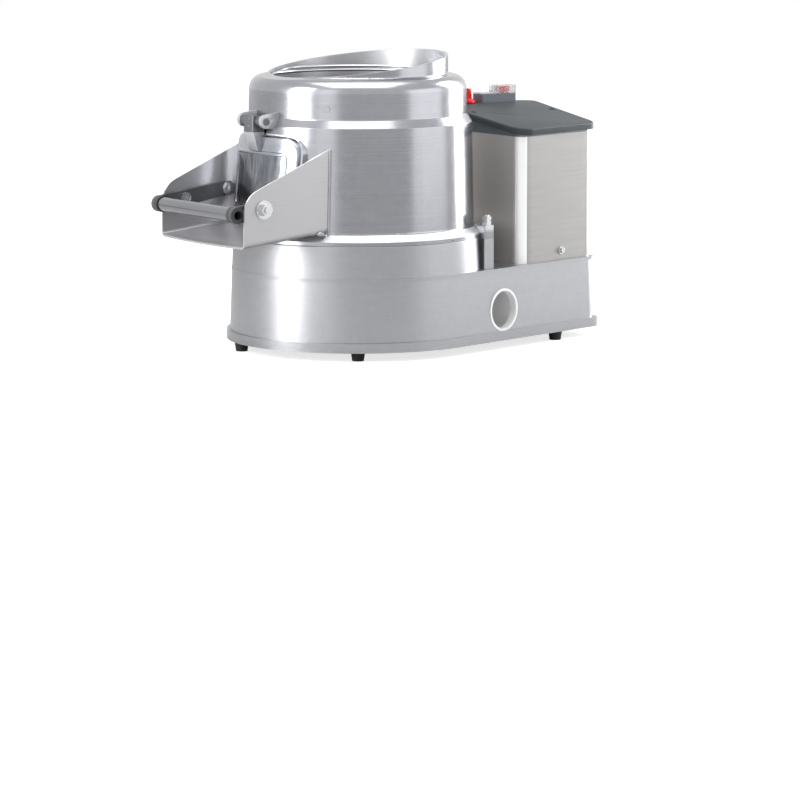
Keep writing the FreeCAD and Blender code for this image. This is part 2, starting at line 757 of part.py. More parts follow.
def clamp_nuts():
    """Nut and lock nut on each stud."""
    nuts = []
    for z in (POST_TOP + 20, POST_TOP + 27):
        nut = hexagon(13, V(STUD_X, STUD_Y, z), V(STUD_X, STUD_Y, z + 6))
        nuts += pair(nut.cut(disc(STUD_RADIUS, z - 1, z + 7, STUD_X, STUD_Y)))
    return nuts


def flange_seal():
    """Rubber ring between vessel and base."""
    return washer(171.5, 167.5, V(0, 0, TOWER_TOP - 3), V(0, 0, TOWER_TOP))


def vessel_plug():
    """Small plug pressed into the vessel wall."""
    return plug_bar(UPPER_RADIUS - VESSEL_WALL, UPPER_RADIUS + 0.8)


def abrasive_liner():
    """Thin abrasive lining of the working height, open at the door."""
    inner = WALL_FOOT_RADIUS - VESSEL_WALL - 0.5
    slope = (inner - (STEP_RADIUS - VESSEL_WALL)) / (STEP_Z - 2 - WALL_FOOT_Z)
    low = inner - slope * (200 - WALL_FOOT_Z)
    high = inner - slope * (322 - WALL_FOOT_Z)
    lining = ring_of([(low - 2.5, 200, 0), (low, 200, 0), (high, 322, 0), (high - 2.5, 322, 0)])
    return lining.cut(frame_block(-1, -200, -110))


def housing_plan(offset, z, corner):
    """Plan of the motor housing: a trapezium narrowing to the rear."""
    half_front = HOUSING_FRONT_HALF + offset
    half_rear = HOUSING_REAR_HALF + offset
    points = [
        (half_front, HOUSING_FRONT_Y - offset, corner), (half_rear, HOUSING_REAR_Y + offset, corner),
        (-half_rear, HOUSING_REAR_Y + offset, corner), (-half_front, HOUSING_FRONT_Y - offset, corner),
    ]
    return outline(points, on_xy(z))


def cover_slab(offset, drop, thickness):
    """Slab under the cover's two-slope top, between two depths below it."""
    sections = []
    for y, half in (
        (HOUSING_FRONT_Y - 20, HOUSING_FRONT_HALF + 10), (HOUSING_REAR_Y + 20, HOUSING_REAR_HALF + 10)
    ):
        near_z = COVER_EDGE_Z - drop
        ridge_z = RIDGE_Z - drop
        points = [
            (half, near_z, 0), (RIDGE_X, ridge_z, 0), (-half - 20, ridge_z, 0),
            (-half - 20, ridge_z - thickness, 0), (RIDGE_X, ridge_z - thickness, 0),
            (half, near_z - thickness, 0),
        ]
        sections.append(outline(points, on_xz(y)))
    return Part.makeLoft(sections, True, True)


def cover_height(x, y):
    """Height of the cover's sloping top."""
    share = (y - HOUSING_FRONT_Y + 20) / (HOUSING_REAR_Y - HOUSING_FRONT_Y + 40)
    edge_x = HOUSING_FRONT_HALF + 10 - share * (HOUSING_FRONT_HALF - HOUSING_REAR_HALF)
    return RIDGE_Z - (RIDGE_Z - COVER_EDGE_Z) * (x - RIDGE_X) / (edge_x - RIDGE_X)


def well_floor(y):
    """Height on which a cover screw's head rests."""
    return cover_height(COVER_SCREW_X, y) - WELL_DEPTH


def motor_housing():
    """Folded stainless sheet round the motor, its top edge cut to the cover's slope, with two tabs."""
    outer = prism(housing_plan(0, DECK_TOP, 18), V(0, 0, 240))
    inner = prism(housing_plan(-HOUSING_SHEET, DECK_TOP - 1, 16.5), V(0, 0, 242))
    shell = outer.cut(inner).common(cover_slab(0, COVER_SKIN + 1, 240))
    tabs = []
    for wall_y, y in zip((HOUSING_FRONT_Y, HOUSING_REAR_Y), COVER_SCREW_YS):
        top = well_floor(y) - COVER_SKIN
        near, far = sorted((wall_y, y + math.copysign(10, y - wall_y)))
        tab = block(COVER_SCREW_X - 10, COVER_SCREW_X + 10, near, far, top - 2, top)
        tabs.append(tab.cut(disc(1.9, top - 3, top + 1, COVER_SCREW_X, y)))
    inlet = gland_bar(GLAND_THREAD, HOUSING_REAR_Y - 5, HOUSING_REAR_Y + 5)
    return shell.fuse(tabs).cut(pair(side_screw_bar(2.2, -6, 2)) + [inlet])


def cover():
    """Moulded cover: two-slope top, rounded corners, deep lip and screw wells, open below."""
    outer = prism(housing_plan(COVER_OVERHANG, 280, 22), V(0, 0, 120)).common(cover_slab(0, 0, COVER_LIP))
    inner = prism(housing_plan(COVER_OVERHANG - COVER_SKIN, 270, 19), V(0, 0, 140))
    inner = inner.common(cover_slab(0, COVER_SKIN, 60))
    shell = outer.cut(inner)
    holes = [disc(3.2, 300, 360, KNOB_X, KNOB_Y)]
    for y in COVER_SCREW_YS:
        floor = well_floor(y)
        cup = disc(WELL_RADIUS + 1.8, floor - COVER_SKIN, 360, COVER_SCREW_X, y).common(cover_slab(0, 0, 60))
        shell = shell.fuse(cup)
        holes.append(disc(WELL_RADIUS, floor, 360, COVER_SCREW_X, y))
        holes.append(disc(1.9, 300, 360, COVER_SCREW_X, y))
    return shell.cut(holes)


def cover_screws():
    """Pan-head screws with sockets, sunk in the cover's wells."""
    screws = []
    for y in COVER_SCREW_YS:
        z = well_floor(y)
        head = disc(3.8, z, z + 2.2, COVER_SCREW_X, y).fuse(disc(1.9, z - 8, z, COVER_SCREW_X, y))
        screws.append(head.cut(hexagon(3.4, V(COVER_SCREW_X, y, z + 1.2), V(COVER_SCREW_X, y, z + 3))))
    return screws


def housing_side(y):
    """Outer face of the housing's near side at y, and the direction square to it."""
    slope = (HOUSING_FRONT_HALF - HOUSING_REAR_HALF) / (HOUSING_REAR_Y - HOUSING_FRONT_Y)
    return HOUSING_FRONT_HALF - slope * (y - HOUSING_FRONT_Y), V(1, slope, 0).normalize()


def side_screw_bar(radius, inner, outer):
    """Bar on the line of the near side's fixing screw, between two distances from the sheet."""
    x, out = housing_side(SIDE_SCREW_Y)
    at = V(x, SIDE_SCREW_Y, SIDE_SCREW_Z)
    return bar(radius, at + out * inner, at + out * outer)


def housing_screws():
    """Hex screws with washers low on both sides of the housing."""
    x, out = housing_side(SIDE_SCREW_Y)
    at = V(x, SIDE_SCREW_Y, SIDE_SCREW_Z)
    head = hexagon(8, at + out * 1.2, at + out * 5)
    return pair(head.fuse([side_screw_bar(6, 0, 1.2), side_screw_bar(2.2, -6, 0)]))


def gland_bar(radius, y0, y1):
    """Bar on the axis of the inlet gland."""
    return bar(radius, V(GLAND_X, y0, GLAND_Z), V(GLAND_X, y1, GLAND_Z))


def cable_gland():
    """Gland in the rear of the housing, left empty: thread and lock nut inside, dome nut outside."""
    inside = HOUSING_REAR_Y - HOUSING_SHEET
    dome_y = HOUSING_REAR_Y + 7
    lock_nut = hexagon(22, V(GLAND_X, inside - 4, GLAND_Z), V(GLAND_X, inside, GLAND_Z))
    nut = hexagon(24, V(GLAND_X, HOUSING_REAR_Y, GLAND_Z), V(GLAND_X, dome_y, GLAND_Z))
    dome = Part.makeCone(10.5, 7.5, GLAND_REAR_Y - dome_y, V(GLAND_X, dome_y, GLAND_Z), Y_AXIS)
    thread = gland_bar(GLAND_THREAD, inside - 6, HOUSING_REAR_Y)
    return thread.fuse([lock_nut, nut, dome]).cut(gland_bar(GLAND_BORE, inside - 10, GLAND_REAR_Y + 5))


def drive_shaft():
    """Stepped vertical shaft from the driven pulley to the peeling plate."""
    shaft = disc(SHAFT_RADIUS, 34, PLATE_Z + 4).fuse(disc(8, PLATE_Z + 4, PLATE_Z + 13.5))
    return shaft.fuse(disc(16, 64.5, 72))


def bearing_heights():
    """Lower faces of the two ball bearings."""
    return [72.0, 107.0]


def bearing_outer_rings():
    """Outer rings with their seals."""
    rings = []
    for z in bearing_heights():
        outer = washer(BEARING_RADIUS, 21.5, V(0, 0, z), V(0, 0, z + BEARING_WIDTH))
        seal = washer(21.5, 17.6, V(0, 0, z + 1), V(0, 0, z + BEARING_WIDTH - 1))
        rings.append(outer.fuse(seal))
    return rings


def bearing_inner_rings():
    """Inner rings on the shaft."""
    rings = []
    for z in bearing_heights():
        rings.append(washer(17.5, SHAFT_RADIUS, V(0, 0, z), V(0, 0, z + BEARING_WIDTH)))
    return rings


def bearing_spacer():
    """Tube that keeps the outer rings apart."""
    low, high = bearing_heights()
    return washer(BEARING_RADIUS, 22.5, V(0, 0, low + BEARING_WIDTH), V(0, 0, high))


def shaft_seal():
    """Lip seal that keeps water out of the bearings."""
    return washer(BEARING_RADIUS - 2, SHAFT_RADIUS + 0.05, V(0, 0, 122.2), V(0, 0, BOSS_TOP))


def driven_pulley():
    """Large belt pulley: grooved rim between lips, pierced web and hub."""
    z0 = BELT_Z - 2
    z1 = BELT_Z + BELT_WIDTH + 2
    middle = (z0 + z1) / 2
    wheel = ring_of([
        (SHAFT_RADIUS, z0, 0), (24, z0, 0), (26, middle - 3, 0), (DRIVEN_RADIUS - 8, middle - 3, 0),
        (DRIVEN_RADIUS - 6, z0, 0), (DRIVEN_RADIUS + 4.5, z0, 0), (DRIVEN_RADIUS + 4.5, z0 + 1.6, 0),
        (DRIVEN_RADIUS, z0 + 1.8, 0), (DRIVEN_RADIUS, z1 - 1.8, 0), (DRIVEN_RADIUS + 4.5, z1 - 1.6, 0),
        (DRIVEN_RADIUS + 4.5, z1, 0), (DRIVEN_RADIUS - 6, z1, 0), (DRIVEN_RADIUS - 8, middle + 3, 0),
        (26, middle + 3, 0), (24, z1 + 8, 0), (SHAFT_RADIUS, z1 + 8, 0),
    ])
    holes = []
    for i in range(5):
        turn = math.radians(72 * i)
        holes.append(disc(13, z0 - 1, z1 + 1, 52 * math.cos(turn), 52 * math.sin(turn)))
    return wheel.cut(holes)


def pulley_nut():
    """Nut and washer under the driven pulley."""
    return washer(18, 8, V(0, 0, 31.5), V(0, 0, 34)).fuse(hexagon(24, V(0, 0, 22), V(0, 0, 31.5)))


def belt_loop(offset, z0, z1):
    """Solid inside the belt line at an offset from both pulleys."""
    big = DRIVEN_RADIUS + offset
    small = MOTOR_PULLEY_RADIUS + offset
    lean = math.asin((big - small) / MOTOR_Y)
    big_x = big * math.cos(lean)
    big_y = big * math.sin(lean)
    small_x = small * math.cos(lean)
    small_y = MOTOR_Y + small * math.sin(lean)
    edges = [
        Part.Arc(V(-big_x, big_y, z0), V(0, -big, z0), V(big_x, big_y, z0)).toShape(),
        Part.makeLine(V(big_x, big_y, z0), V(small_x, small_y, z0)),
        Part.Arc(V(small_x, small_y, z0), V(0, MOTOR_Y + small, z0), V(-small_x, small_y, z0)).toShape(),
        Part.makeLine(V(-small_x, small_y, z0), V(-big_x, big_y, z0)),
    ]
    return prism(Part.Wire(edges), V(0, 0, z1 - z0))


def drive_belt():
    """Ribbed belt round both pulleys."""
    z0 = BELT_Z + 0.4
    z1 = BELT_Z + BELT_WIDTH - 0.4
    return belt_loop(4.0, z0, z1).cut(belt_loop(0.3, z0 - 1, z1 + 1))


def motor_shaft():
    """Motor shaft through the deck."""
    return disc(9.5, 34, 150, 0, MOTOR_Y)


def motor_pulley():
    """Small pulley with lips."""
    z0 = BELT_Z - 2
    z1 = BELT_Z + BELT_WIDTH + 2
    r = MOTOR_PULLEY_RADIUS
    wheel = ring_of([
        (9.5, z0, 0), (r + 4.5, z0, 0), (r + 4.5, z0 + 1.6, 0), (r, z0 + 1.8, 0),
        (r, z1 - 1.8, 0), (r + 4.5, z1 - 1.6, 0), (r + 4.5, z1, 0), (16, z1, 2), (16, z1 + 12, 0),
        (9.5, z1 + 12, 0),
    ])
    wheel.translate(V(0, MOTOR_Y, 0))
    return wheel


def motor_frame():
    """Finned motor frame with its lower end shield."""
    frame = disc(54, 131, 262, 0, MOTOR_Y).fuse(disc(62, 125, 133, 0, MOTOR_Y))
    fins = []
    for i in range(20):
        fin = block(50, 62, -1.3, 1.3, 138, 258)
        fin.rotate(V(0, 0, 0), Z_AXIS, 18 * i + 9)
        fin.translate(V(0, MOTOR_Y, 0))
        fins.append(fin)
    bore = disc(9.55, 120, 151, 0, MOTOR_Y)
    return frame.fuse(fins).cut(bore)


def fan_cowl():
    """Pressed cowl over the fan, pierced on top."""
    cowl = disc(60, 262, 298, 0, MOTOR_Y)
    cowl = cowl.cut(disc(58.5, 261, 296.5, 0, MOTOR_Y))
    slots = []
    for radius in (18, 30, 42):
        for i in range(6):
            slot = block(radius - 3, radius + 3, -radius * 0.35, radius * 0.35, 290, 300)
            slot.rotate(V(0, 0, 0), Z_AXIS, 60 * i)
            slot.translate(V(0, MOTOR_Y, 0))
            slots.append(slot)
    return cowl.cut(slots)


def motor_plate():
    """Plate between motor and deck, slotted for setting the belt."""
    plate = block(-80, 80, MOTOR_Y - 56, MOTOR_Y + 56, DECK_TOP, DECK_TOP + 6)
    plate = plate.cut(disc(32, DECK_TOP - 1, DECK_TOP + 7, 0, MOTOR_Y))
    slots = []
    for x, y in motor_bolt_places():
        slots.append(block(x - 4.5, x + 4.5, y - 8, y + 8, DECK_TOP - 1, DECK_TOP + 7))
    return plate.cut(slots)


def motor_bolt_places():
    """Four bolts at the corners of the motor plate."""
    return [(x, MOTOR_Y + y) for x in (-70, 70) for y in (-40, 40)]


def motor_bolts():
    """Hex bolts with washers through the slots."""
    bolts = []
    for x, y in motor_bolt_places():
        z = DECK_TOP + 6
        bolt = disc(9, z, z + 1.6, x, y).fuse(hexagon(13, V(x, y, z + 1.6), V(x, y, z + 7)))
        bolts.append(bolt.fuse(disc(4, DECK_TOP, z, x, y)))
    return bolts


def capacitor():
    """Run capacitor standing on the deck beside the motor."""
    can = disc(16, DECK_TOP, DECK_TOP + 82, 100, 238)
    return can.fuse(disc(5, DECK_TOP + 82, DECK_TOP + 90, 100, 238))


def peeling_plate():
    """Turning plate: disc with a stepped rim, hub and stiffening ribs below."""
    plate = ring_of([
        (SHAFT_RADIUS, 131, 0), (30, 131, 0), (33, PLATE_Z, 0), (PLATE_RADIUS - 6, PLATE_Z, 0),
        (PLATE_RADIUS - 4, PLATE_Z - 3, 0), (PLATE_RADIUS, PLATE_Z - 3, 0), (PLATE_RADIUS, PLATE_Z + 6, 2),
        (SHAFT_RADIUS, PLATE_Z + 6, 0),
    ])
    cap = washer(SHAFT_RADIUS + 0.5, 8, V(0, 0, PLATE_Z + 4), V(0, 0, PLATE_Z + 6))
    ribs = []
    for i in range(6):
        rib = block(28, PLATE_RADIUS - 12, -2, 2, PLATE_Z - 10, PLATE_Z + 1)
        rib.rotate(V(0, 0, 0), Z_AXIS, 60 * i + 30)
        ribs.append(rib)
    return plate.fuse([cap] + ribs)


def wave(radius, half_width, height):
    """Hump section square to the plate's radius."""
    foot = PLATE_Z + 8
    left = V(radius, -half_width, foot)
    right = V(radius, half_width, foot)
    edges = [
        Part.Arc(left, V(radius, 0, foot + height), right).toShape(),
        Part.makeLine(right, left),
    ]
    return Part.Wire(edges)


def abrasive_disc():
    """Abrasive facing of the plate with three waves that grow towards the rim."""
    facing = washer(152, 17, V(0, 0, PLATE_Z + 6), V(0, 0, PLATE_Z + 9))
    hump = Part.makeLoft([wave(34, 12, 5), wave(90, 22, 10), wave(147, 34, 14)], True, False)
    humps = []
    for i in range(3):
        turned = hump.copy()
        turned.rotate(V(0, 0, 0), Z_AXIS, 120 * i + 20)
        humps.append(turned)
    return facing.fuse(humps)


def plate_cap():
    """Domed cap nut that holds the plate down."""
    dome = ring_of([
        (0, PLATE_Z + 6.2, 0), (16.5, PLATE_Z + 6.2, 0), (16.5, PLATE_Z + 14, 6), (0, PLATE_Z + 21, 0)
    ])
    return dome.cut(disc(8, PLATE_Z, PLATE_Z + 14))


def waste_sweeper():
    """Two skewed paddles under the plate that push peel and water to the drain."""
    blade = [
        (40, TUB_FLOOR + 9, 0), (167, TUB_FLOOR + 9, 6), (167, PLATE_Z - 30, 8),
        (152, PLATE_Z, 0), (40, PLATE_Z, 0),
    ]
    paddles = []
    for turn in (0, 180):
        paddle = prism(outline(blade, on_xz(-1.5)), V(0, 3, 0))
        paddle = paddle.fuse(block(44, 148, -12, 0, PLATE_Z - 3, PLATE_Z))
        paddle.rotate(V(90, 0, 0), Z_AXIS, 8)
        paddle.rotate(V(0, 0, 0), Z_AXIS, turn)
        paddles.append(paddle)
    return paddles


def switch_box():
    """Control box with wells for the two buttons."""
    body = prism(
        outline([
            (SWITCH_X - SWITCH_HALF, SWITCH_Y0, 3), (SWITCH_X + SWITCH_HALF, SWITCH_Y0, 3),
            (SWITCH_X + SWITCH_HALF, SWITCH_Y1, 3), (SWITCH_X - SWITCH_HALF, SWITCH_Y1, 3),
        ], on_xy(RIDGE_Z)),
        V(0, 0, SWITCH_TOP - RIDGE_Z),
    )
    return body.cut([
        disc(9.3, RIDGE_Z + 4, SWITCH_TOP + 1, SWITCH_X, START_Y),
        disc(9.3, RIDGE_Z + 4, SWITCH_TOP + 1, SWITCH_X, STOP_Y),
    ])


def start_button():
    """Flush start button."""
    return disc(9, RIDGE_Z + 7, SWITCH_TOP - 0.4, SWITCH_X, START_Y)


def stop_button():
    """Raised stop button."""
    stem = disc(9, RIDGE_Z + 7.5, SWITCH_TOP + 2, SWITCH_X, STOP_Y)
    return stem.fuse(disc(10.5, SWITCH_TOP + 4.5, SWITCH_TOP + 10.5, SWITCH_X, STOP_Y)).fuse(
        disc(9, SWITCH_TOP + 1, SWITCH_TOP + 6, SWITCH_X, STOP_Y)
    )


def splash_boot():
    """Clear boot: flat over the start button, raised over the stop button."""
    x0 = SWITCH_X - SWITCH_HALF + 0.5
    x1 = SWITCH_X + SWITCH_HALF - 0.5
    low = block(x0, x1, SWITCH_Y0 + 1, 305, SWITCH_TOP, SWITCH_TOP + 2)
    low = low.cut(block(x0 + 1.2, x1 - 1.2, SWITCH_Y0 + 2.2, 306, SWITCH_TOP - 1, SWITCH_TOP + 0.8))
    high = block(x0, x1, 304, SWITCH_Y1 - 1, SWITCH_TOP, SWITCH_TOP + 13)
    high = high.cut(block(x0 + 1.2, x1 - 1.2, 305.2, SWITCH_Y1 - 2.2, SWITCH_TOP - 1, SWITCH_TOP + 11.8))
    return low.fuse(high)


def timer_knob():
    """Knob with a wide skirt, a fluted grip and its spindle."""
    skirt = ring_of([
        (0, RIDGE_Z + 1, 0), (20, RIDGE_Z + 1, 0), (20, RIDGE_Z + 4, 2), (14.5, RIDGE_Z + 7, 2),
        (0, RIDGE_Z + 7, 0),
    ])
    grip = ring_of([(0, RIDGE_Z + 6, 0), (14.5, RIDGE_Z + 6, 0), (13, RIDGE_Z + 22, 2), (0, RIDGE_Z + 22, 0)])
    flutes = []
    for i in range(10):
        turn = math.radians(36 * i + 18)
        x, y = 14.8 * math.cos(turn), 14.8 * math.sin(turn)
        flutes.append(disc(2.2, RIDGE_Z + 8, RIDGE_Z + 23, x, y))
    knob = skirt.fuse(grip.cut(flutes)).fuse(block(3, 13.5, -1.2, 1.2, RIDGE_Z + 21, RIDGE_Z + 23))
    knob = knob.fuse(disc(3, RIDGE_Z - 20, RIDGE_Z + 2))
    knob.translate(V(KNOB_X, KNOB_Y, 0))
    return knob


def timer_body():
    """Clockwork timer under the cover, with its bush."""
    top = RIDGE_Z - COVER_SKIN
    body = block(KNOB_X - 19, KNOB_X + 19, KNOB_Y - 20, KNOB_Y + 20, top - 45, top - 19)
    bush = disc(6, top - 20, top, KNOB_X, KNOB_Y)
    return body.fuse(bush).cut(disc(3.05, top - 24, top + 1, KNOB_X, KNOB_Y))


NODES = {
    "base_casting": base_casting,
    "bottom_plate": bottom_plate,
    "rubber_feet": rubber_feet,
    "foot_screws": foot_screws,
    "drain_sleeve": drain_sleeve,
    "vessel_casting": vessel_casting,
    "abrasive_liner": abrasive_liner,
    "flange_seal": flange_seal,
    "vessel_plug": vessel_plug,
    "door_frame": door_frame,
    "door_gasket": door_gasket,
    "door_pan": door_pan,
    "hinge_strap": hinge_strap,
    "strap_rivets": strap_rivets,
    "hinge_ears": hinge_ears,
    "hinge_pin": hinge_pin,
    "chute": chute,
    "bail_arms": bail_arms,
    "bail_tube": bail_tube,
    "bail_bushes": bail_bushes,
    "rear_bolts": rear_bolts,
    "pivot_bolts": pivot_bolts,
    "pivot_washers": pivot_washers,
    "pivot_nuts": pivot_nuts,
    "clamp_hooks": clamp_hooks,
    "clamp_studs": clamp_studs,
    "clamp_nuts": clamp_nuts,
    "motor_housing": motor_housing,
    "housing_screws": housing_screws,
    "cable_gland": cable_gland,
    "cover": cover,
    "cover_screws": cover_screws,
    "drive_shaft": drive_shaft,
    "bearing_outer_rings": bearing_outer_rings,
    "bearing_inner_rings": bearing_inner_rings,
    "bearing_spacer": bearing_spacer,
    "shaft_seal": shaft_seal,
    "driven_pulley": driven_pulley,
    "pulley_nut": pulley_nut,
    "drive_belt": drive_belt,
    "motor_shaft": motor_shaft,
    "motor_pulley": motor_pulley,
    "motor_frame": motor_frame,
    "fan_cowl": fan_cowl,
    "motor_plate": motor_plate,
    "motor_bolts": motor_bolts,
    "capacitor": capacitor,
    "peeling_plate": peeling_plate,
    "abrasive_disc": abrasive_disc,
    "plate_cap": plate_cap,
    "waste_sweeper": waste_sweeper,
    "switch_box": switch_box,
    "start_button": start_button,
    "stop_button": stop_button,
    "splash_boot": splash_boot,
    "timer_knob": timer_knob,
    "timer_body": timer_body,
}

os.makedirs("parts", exist_ok=True)
for node, build in NODES.items():
    save(node, build())
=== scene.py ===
import math

import bmesh
import bpy
from mathutils import Matrix, Vector


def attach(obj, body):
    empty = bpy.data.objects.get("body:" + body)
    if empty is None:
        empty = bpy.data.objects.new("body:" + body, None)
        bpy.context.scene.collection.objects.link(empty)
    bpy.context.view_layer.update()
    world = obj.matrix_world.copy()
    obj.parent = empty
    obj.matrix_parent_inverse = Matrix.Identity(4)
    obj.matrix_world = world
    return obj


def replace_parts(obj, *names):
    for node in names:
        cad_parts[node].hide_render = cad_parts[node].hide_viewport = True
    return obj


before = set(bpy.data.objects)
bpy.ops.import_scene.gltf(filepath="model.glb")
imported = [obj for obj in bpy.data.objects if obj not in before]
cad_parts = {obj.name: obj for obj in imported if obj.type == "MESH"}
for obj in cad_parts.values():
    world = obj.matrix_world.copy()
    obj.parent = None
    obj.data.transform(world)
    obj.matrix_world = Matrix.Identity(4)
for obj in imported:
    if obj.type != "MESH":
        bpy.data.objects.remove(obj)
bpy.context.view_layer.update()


# Base casting: one sand-cast aluminium shell, teardrop in plan, with the waste tub, deck and clamp posts.
# The outside is linished along the wall and left bare, so fine level scratches lie over a faint cast mottle.
def linear(hex_text):
    """Linear colour, with alpha, from an sRGB hex value."""
    shares = [int(hex_text[start:start + 2], 16) / 255 for start in (1, 3, 5)]
    return [
        share / 12.92 if share <= 0.04045 else ((share + 0.055) / 1.055) ** 2.4 for share in shares
    ] + [1.0]


def add_node(tree, kind, values=None, settings=None, links=None):
    """Adds a node, sets its inputs and attributes, and links its inputs to other nodes' outputs."""
    node = tree.nodes.new(kind)
    for name, value in (settings or {}).items():
        setattr(node, name, value)
    for name, value in (values or {}).items():
        node.inputs[name].default_value = value
    for name, (source, output) in (links or {}).items():
        tree.links.new(source.outputs[output], node.inputs[name])
    return node


def new_finish(name, **shader_values):
    """A material, its node tree and its Principled shader, whose constant inputs are given by name."""
    material = bpy.data.materials.new(name)
    material.use_nodes = True
    tree = material.node_tree
    shader = tree.nodes["Principled BSDF"]
    for key, value in shader_values.items():
        shader.inputs[key.replace("_", " ")].default_value = value
    return material, tree, shader


def object_pattern(tree, kind, x_mm, y_mm, z_mm, **values):
    """A texture on Object coordinates whose marks are so many millimetres apart along x, y and z."""
    place = add_node(tree, "ShaderNodeTexCoord")
    stretched = add_node(
        tree, "ShaderNodeMapping", {"Scale": (1000 / x_mm, 1000 / y_mm, 1000 / z_mm)},
        links={"Vector": (place, "Object")},
    )
    return add_node(tree, kind, {"Scale": 1.0, **values}, links={"Vector": (stretched, "Vector")})


def wear_in(tree, shader, pattern, rough, shades, relief_mm):
    """One pattern drives roughness and colour between two values each, and stands up as a relief."""
    roughness = add_node(
        tree, "ShaderNodeMapRange", {"To Min": rough[0], "To Max": rough[1]}, links={"Value": (pattern, 0)}
    )
    colour = add_node(
        tree, "ShaderNodeMix", {"A": linear(shades[0]), "B": linear(shades[1])}, {"data_type": "RGBA"},
        {"Factor": (pattern, 0)},
    )
    bump = add_node(
        tree, "ShaderNodeBump", {"Distance": relief_mm / 1000, "Strength": 1.0},
        links={"Height": (pattern, 0)},
    )
    tree.links.new(roughness.outputs["Result"], shader.inputs["Roughness"])
    tree.links.new(colour.outputs["Result"], shader.inputs["Base Color"])
    tree.links.new(bump.outputs["Normal"], shader.inputs["Normal"])


def finish_where(tree, shader, mask, rough, shade):
    """Where the mask is 1, one even shade and a second roughness range take the place of the first."""
    first_colour = shader.inputs["Base Color"].links[0].from_socket
    first_rough = shader.inputs["Roughness"].links[0].from_socket
    colour = add_node(
        tree, "ShaderNodeMix", {"B": linear(shade)}, {"data_type": "RGBA"}, {"Factor": (mask, 0)}
    )
    tree.links.new(first_colour, colour.inputs["A"])
    lift = add_node(tree, "ShaderNodeMapRange", {"To Min": rough[0], "To Max": rough[1]})
    tree.links.new(first_rough, lift.inputs["Value"])
    roughness = add_node(tree, "ShaderNodeMix", links={"Factor": (mask, 0), "B": (lift, "Result")})
    tree.links.new(first_rough, roughness.inputs["A"])
    tree.links.new(colour.outputs["Result"], shader.inputs["Base Color"])
    tree.links.new(roughness.outputs["Result"], shader.inputs["Roughness"])


def dress(material, *nodes):
    """Gives CAD nodes one material."""
    for name in nodes:
        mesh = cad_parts[name].data
        mesh.materials.clear()
        mesh.materials.append(material)


# The linished wall mirrors in soft level streaks: 60 mm long, and drawn 0.8 mm apart so that they show.
# Under them the cast mottle is about 9 mm across.
linished_cast, tree, shader = new_finish("linished sand-cast aluminium", Metallic=1.0)
scratches = object_pattern(tree, "ShaderNodeTexNoise", 62.5, 62.5, 0.8, Detail=3.0, Roughness=0.6)
mottle = object_pattern(tree, "ShaderNodeTexNoise", 9.091, 9.091, 9.091, Detail=4.0, Roughness=0.65)
blend = add_node(
    tree, "ShaderNodeMix", {"Factor": 0.45}, links={"A": (scratches, "Fac"), "B": (mottle, "Fac")}
)
wear_in(tree, shader, blend, rough=(0.26, 0.42), shades=("#96979a", "#acadb0"), relief_mm=0.12)
# Behind the drain hole the metal is painted pale, even and dull, as painted light in the shaded duct. The
# duct is a box square to the near side wall, which the Mapping node turns and scales to run from -1 to 1.
DUCT_MIDDLE = (0.1082, 0.0933, 0.062)
DUCT_HALF = (0.0428, 0.0318, 0.045)
SIDE_ANGLE = math.radians(15)
duct_room = add_node(
    tree, "ShaderNodeMapping", {"Location": DUCT_MIDDLE, "Rotation": (0, 0, SIDE_ANGLE), "Scale": DUCT_HALF},
    {"vector_type": "TEXTURE"}, {"Vector": (add_node(tree, "ShaderNodeTexCoord"), "Object")},
)
reach = add_node(tree, "ShaderNodeVectorMath", settings={"operation": "ABSOLUTE"}, links={0: (duct_room, 0)})
sides = add_node(tree, "ShaderNodeSeparateXYZ", links={0: (reach, 0)})
widest = add_node(
    tree, "ShaderNodeMath", settings={"operation": "MAXIMUM"}, links={0: (sides, "X"), 1: (sides, "Y")}
)
widest = add_node(
    tree, "ShaderNodeMath", settings={"operation": "MAXIMUM"}, links={0: (widest, 0), 1: (sides, "Z")}
)
painted_light_duct = add_node(tree, "ShaderNodeMath", {1: 1.0}, {"operation": "LESS_THAN"}, {0: (widest, 0)})
finish_where(tree, shader, painted_light_duct, rough=(0.5, 0.7), shade="#f2f2f3")
# In the duct the metal has metallic 0.2, not 1, so that it mirrors less and its painted pale shade shows as
# painted light.
painted_light_metallic = add_node(
    tree, "ShaderNodeMath", {1: -0.8, 2: 1.0}, {"operation": "MULTIPLY_ADD"}, {0: (painted_light_duct, 0)}
)
tree.links.new(painted_light_metallic.outputs[0], shader.inputs["Metallic"])
dress(linished_cast, "base_casting")

# Bottom plate: thin steel sheet that closes the underside of the base, painted grey before fitting.
# Four pan-head screws pass up through the moulded rubber feet into bosses of the casting.

# Paint sprayed on sheet dries with a soft sheen and an orange peel 2.5 mm across.
painted_sheet, tree, shader = new_finish("grey painted steel sheet")
orange_peel = object_pattern(tree, "ShaderNodeTexNoise", 2.5, 2.5, 2.5, Detail=2.0)
wear_in(tree, shader, orange_peel, rough=(0.42, 0.55), shades=("#6d7073", "#777a7d"), relief_mm=0.05)
dress(painted_sheet, "bottom_plate")

# Rubber from the mould is nearly black and dull, with a bloom of slightly paler patches 4 mm across.
moulded_rubber, tree, shader = new_finish("moulded black rubber", Specular_IOR_Level=0.35)
bloom = object_pattern(tree, "ShaderNodeTexNoise", 3.846, 3.846, 3.846, Detail=5.0)
wear_in(tree, shader, bloom, rough=(0.55, 0.8), shades=("#161617", "#232325"), relief_mm=0.08)
dress(moulded_rubber, "rubber_feet", "door_gasket", "flange_seal", "shaft_seal", "drive_belt")

